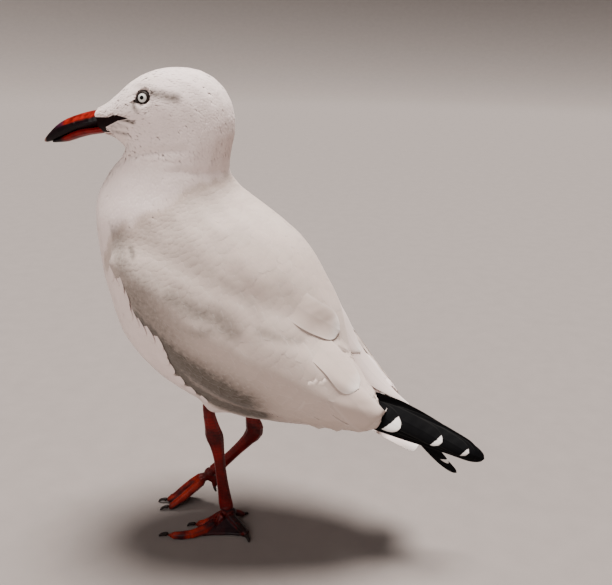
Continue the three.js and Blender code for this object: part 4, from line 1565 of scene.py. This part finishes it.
def bill_finish():
    made = Finish("bill_horn", roughness=0.24, Specular_IOR_Level=0.16)
    place = made.place()
    height = made.add("ShaderNodeSeparateXYZ", {}, {"Vector": place}, "Z")
    length = made.add("ShaderNodeSeparateXYZ", {}, {"Vector": place}, "X")
    fine = made.noise(260, 3)
    mouth_root = (BILL_ROOT[0] + HOME[0]) * MM
    ridge = (height - (length - mouth_root) * 0.25 - RIDGE_LEVEL) / MM + (fine - 0.5) * 0.8
    reach = made.value("reach")
    upper = made.value("upper")
    tip = (reach + (fine - 0.5) * 0.12).ramp(0.56, 0.68)
    orange = made.mix(fine.ramp(0.3, 0.7), (0.075, 0.002, 0.002), (0.24, 0.011, 0.006))
    crimson = made.mix(fine.ramp(0.25, 0.6), (0.075, 0.002, 0.002), (0.19, 0.005, 0.004))
    dark = made.mix(fine, (0.0012, 0.0005, 0.0008), (0.008, 0.002, 0.004))
    red = made.mix(upper, crimson, orange)
    strength = (ridge.ramp(-0.3, 0.6) * upper + (1 - upper)) * (1 - tip)
    colour = made.mix(strength, dark, red)
    colour = made.mix(tip * ridge.ramp(-1.5, 1.5) * 0.6, colour, (0.07, 0.012, 0.04))
    colour = made.mix(reach.ramp(0.93, 0.96) * upper * 0.6, colour, (0.36, 0.20, 0.17))
    normal = made.bump(made.noise(700, 3) + made.noise(90, 2), 0.25, 0.12)
    roughness = 0.2 + fine * 0.25
    return made.feed(Base_Color=colour, Normal=normal, Roughness=roughness)


def eye_finish():
    made = Finish("eye", roughness=0.04, Specular_IOR_Level=0.06)
    ring = made.value("ring")
    fibres = made.noise(1500, 3)
    iris = made.mix(fibres, (0.60, 0.58, 0.55), (0.84, 0.83, 0.81))
    colour = made.mix(1 - ring.ramp(PUPIL_RADIUS - 0.06, PUPIL_RADIUS + 0.06), iris, (0.002, 0.002, 0.002))
    colour = made.mix(ring.ramp(IRIS_RADIUS - 0.08, IRIS_RADIUS + 0.08), colour, (0.006, 0.005, 0.005))
    return made.feed(Base_Color=colour)


def lid_finish():
    made = Finish("eye_rim", roughness=0.5, Specular_IOR_Level=0.1)
    fine = made.noise(900, 3)
    colour = made.mix(fine, (0.004, 0.003, 0.003), (0.03, 0.018, 0.014))
    return made.feed(Base_Color=colour, Normal=made.bump(fine, 0.4, 0.1))


def leg_finish():
    made = Finish("leg_skin", roughness=0.4, Specular_IOR_Level=0.2)
    fine = made.noise(380, 3)
    broad = made.noise(90, 2)
    cells = made.cells(900)
    red = made.mix(broad.ramp(0.35, 0.7), (0.07, 0.0012, 0.0012), (0.19, 0.004, 0.003))
    # painted highlight: orange on the middle and inner toes; faint orange flecks all over as tone
    orange = made.value("toe") * broad.ramp(0.35, 0.6) * 0.8 + fine.ramp(0.55, 0.8) * 0.2
    red = made.mix(orange, red, (0.34, 0.022, 0.007))
    # dark joints, and painted shade on the hind toe
    dark = made.value("knot") * (broad + fine * 0.5 - 0.25).ramp(0.3, 0.5)
    colour = made.mix(dark, red, (0.006, 0.002, 0.002))
    # the webs darkened nearly to black: partly their own dark colour, mostly painted shade
    colour = made.mix(made.value("web") * 0.92, colour, (0.014, 0.008, 0.011))
    # painted shade in the grooves between the scales and round the small scales
    colour = made.mix(made.value("groove") * 0.45, colour, (0.012, 0.002, 0.002))
    colour = made.mix((1 - cells.ramp(0.0, 0.12)) * 0.3, colour, (0.02, 0.003, 0.003))
    normal = made.bump(cells.ramp(0.0, 0.2) + fine * 0.5, 0.45, 0.12)
    return made.feed(Base_Color=colour, Normal=normal, Roughness=0.24 + fine * 0.3)


def claw_finish():
    made = Finish("claw_horn", roughness=0.4, Specular_IOR_Level=0.15)
    fine = made.noise(500, 3)
    colour = made.mix(fine, (0.004, 0.003, 0.003), (0.03, 0.02, 0.018))
    return made.feed(Base_Color=colour, Normal=made.bump(fine, 0.3, 0.08))


# ---------- stage ----------

VIEW_AZIMUTH = math.radians(9.0)
VIEW_DOWN = math.radians(19.13)
VIEW_REACH = 468.6
VIEW_TARGET = np.array([51.8, 1.0, 156.4])
FOCAL = 47.06
SENSOR = 36.0


def make_camera():
    level = math.cos(VIEW_DOWN)
    back = np.array([math.sin(VIEW_AZIMUTH) * level, -math.cos(VIEW_AZIMUTH) * level, math.sin(VIEW_DOWN)])
    data = bpy.data.cameras.new("camera")
    data.lens = FOCAL
    data.sensor_width = SENSOR
    data.clip_start = 0.01
    camera = new_object("camera", data)
    camera.location = Vector((VIEW_TARGET + HOME + back * VIEW_REACH) * MM)
    camera.rotation_euler = Vector(-back).to_track_quat("-Z", "Y").to_euler()
    bpy.context.scene.camera = camera


def area_light(name, place, aim, size, power, colour):
    data = bpy.data.lights.new(name, "AREA")
    data.size = size
    data.energy = power
    data.color = colour
    lamp = new_object(name, data)
    lamp.location = place
    lamp.rotation_euler = (Vector(aim) - Vector(place)).to_track_quat("-Z", "Y").to_euler()


def make_stage():
    """A floor that bends up into a round wall, a faint sky, an overhead sun and a window."""
    rings = [0.0, 0.5, 1.0, 1.8, 2.6]
    profile = [(r, 0.0) for r in rings]
    bend = 1.4
    for k in range(1, 17):
        turn = k / 16 * math.pi / 2
        profile.append((rings[-1] + bend * math.sin(turn), bend * (1 - math.cos(turn))))
    profile.append((rings[-1] + bend, 4.0))
    steps = 96
    verts = [(r * math.cos(2 * math.pi * k / steps), r * math.sin(2 * math.pi * k / steps), z - 0.0004)
             for r, z in profile for k in range(steps)]
    faces = []
    for i in range(1, len(profile) - 1):
        for k in range(steps):
            after = (k + 1) % steps
            faces.append((i * steps + k, (i + 1) * steps + k, (i + 1) * steps + after, i * steps + after))
    faces.append([steps + k for k in range(steps)])
    mesh = bpy.data.meshes.new("floor")
    mesh.from_pydata(verts, [], faces)
    shade_smooth(mesh)
    floor = new_object("floor", mesh)
    made = Finish("floor_paint", roughness=0.9, Specular_IOR_Level=0.1)
    grain = made.noise(60, 4)
    colour = made.mix(grain, (0.19, 0.163, 0.152), (0.22, 0.19, 0.178))
    floor.data.materials.append(made.feed(Base_Color=colour, Normal=made.bump(grain, 0.05, 1.0)))
    world = bpy.data.worlds.new("studio")
    bpy.context.scene.world = world
    world.use_nodes = True
    sky = next(n for n in world.node_tree.nodes if n.type == "BACKGROUND")
    sky.inputs["Color"].default_value = (0.90, 0.95, 1.0, 1)
    sky.inputs["Strength"].default_value = 0.1
    overhead = bpy.data.lights.new("overhead", "SUN")
    overhead.energy = 10.5
    overhead.angle = 0.4
    overhead.color = (1.0, 0.97, 0.93)
    lamp = new_object("overhead", overhead)
    lamp.rotation_euler = Vector((0.09, 0.17, 1.0)).to_track_quat("Z", "Y").to_euler()
    area_light("window", (-0.55, -1.35, 1.0), (0, 0, 0.14), 1.1, 14, (1.0, 0.97, 0.94))


# ---------- assembly ----------

make_camera()
make_stage()

skin_coat = skin_finish()
tuft_coat = tuft_finish()
vane_coat = vane_finish("vane_plumage", 0.06)
quill_coat = vane_finish("quill_plumage", 0.5)

skin, skin_inset = make_skin()
finish_piece(skin, skin_coat, "white_plumage", *FLESH)
ground = Ground(skin, skin_inset)
for piece in make_coat(ground):
    if "wing" in piece.name or "mantle" in piece.name:
        finish_piece(piece, vane_coat, "grey_plumage")
    else:
        finish_piece(piece, tuft_coat, "white_plumage")
finish_piece(make_ruffle(ground), tuft_coat, "white_plumage")

for piece in (make_over_rump(), *make_wing_quills(ground)):
    finish_piece(piece, quill_coat, "grey_plumage")

black = hand_finish()
for piece in make_hands():
    node = piece.name.replace("_vanes", "")
    finish_piece(piece, black, "black_feathers", node)

finish_piece(make_tail(), quill_coat, "white_plumage", "tail")

horn = bill_finish()
for piece in make_bill():
    finish_piece(piece, horn, "bill_horn", piece.name.replace("_horn", ""))

eye_gloss = eye_finish()
rim = lid_finish()
for name, (ball, lids) in make_eyes(ground).items():
    finish_piece(ball, eye_gloss, "eye", f"eye_{name}")
    finish_piece(lids, rim, "claw_horn")

leg_skin = leg_finish()
for piece, name in zip(make_legs(), SIDES):
    finish_piece(piece, leg_skin, "leg_skin", f"tarsus_{name}", f"foot_{name}")

claw_horn = claw_finish()
for piece, name in zip(make_claws(), SIDES):
    nodes = [f"claw_{name}_{toe}" for toe in TOES]
    finish_piece(piece, claw_horn, "claw_horn", *nodes)
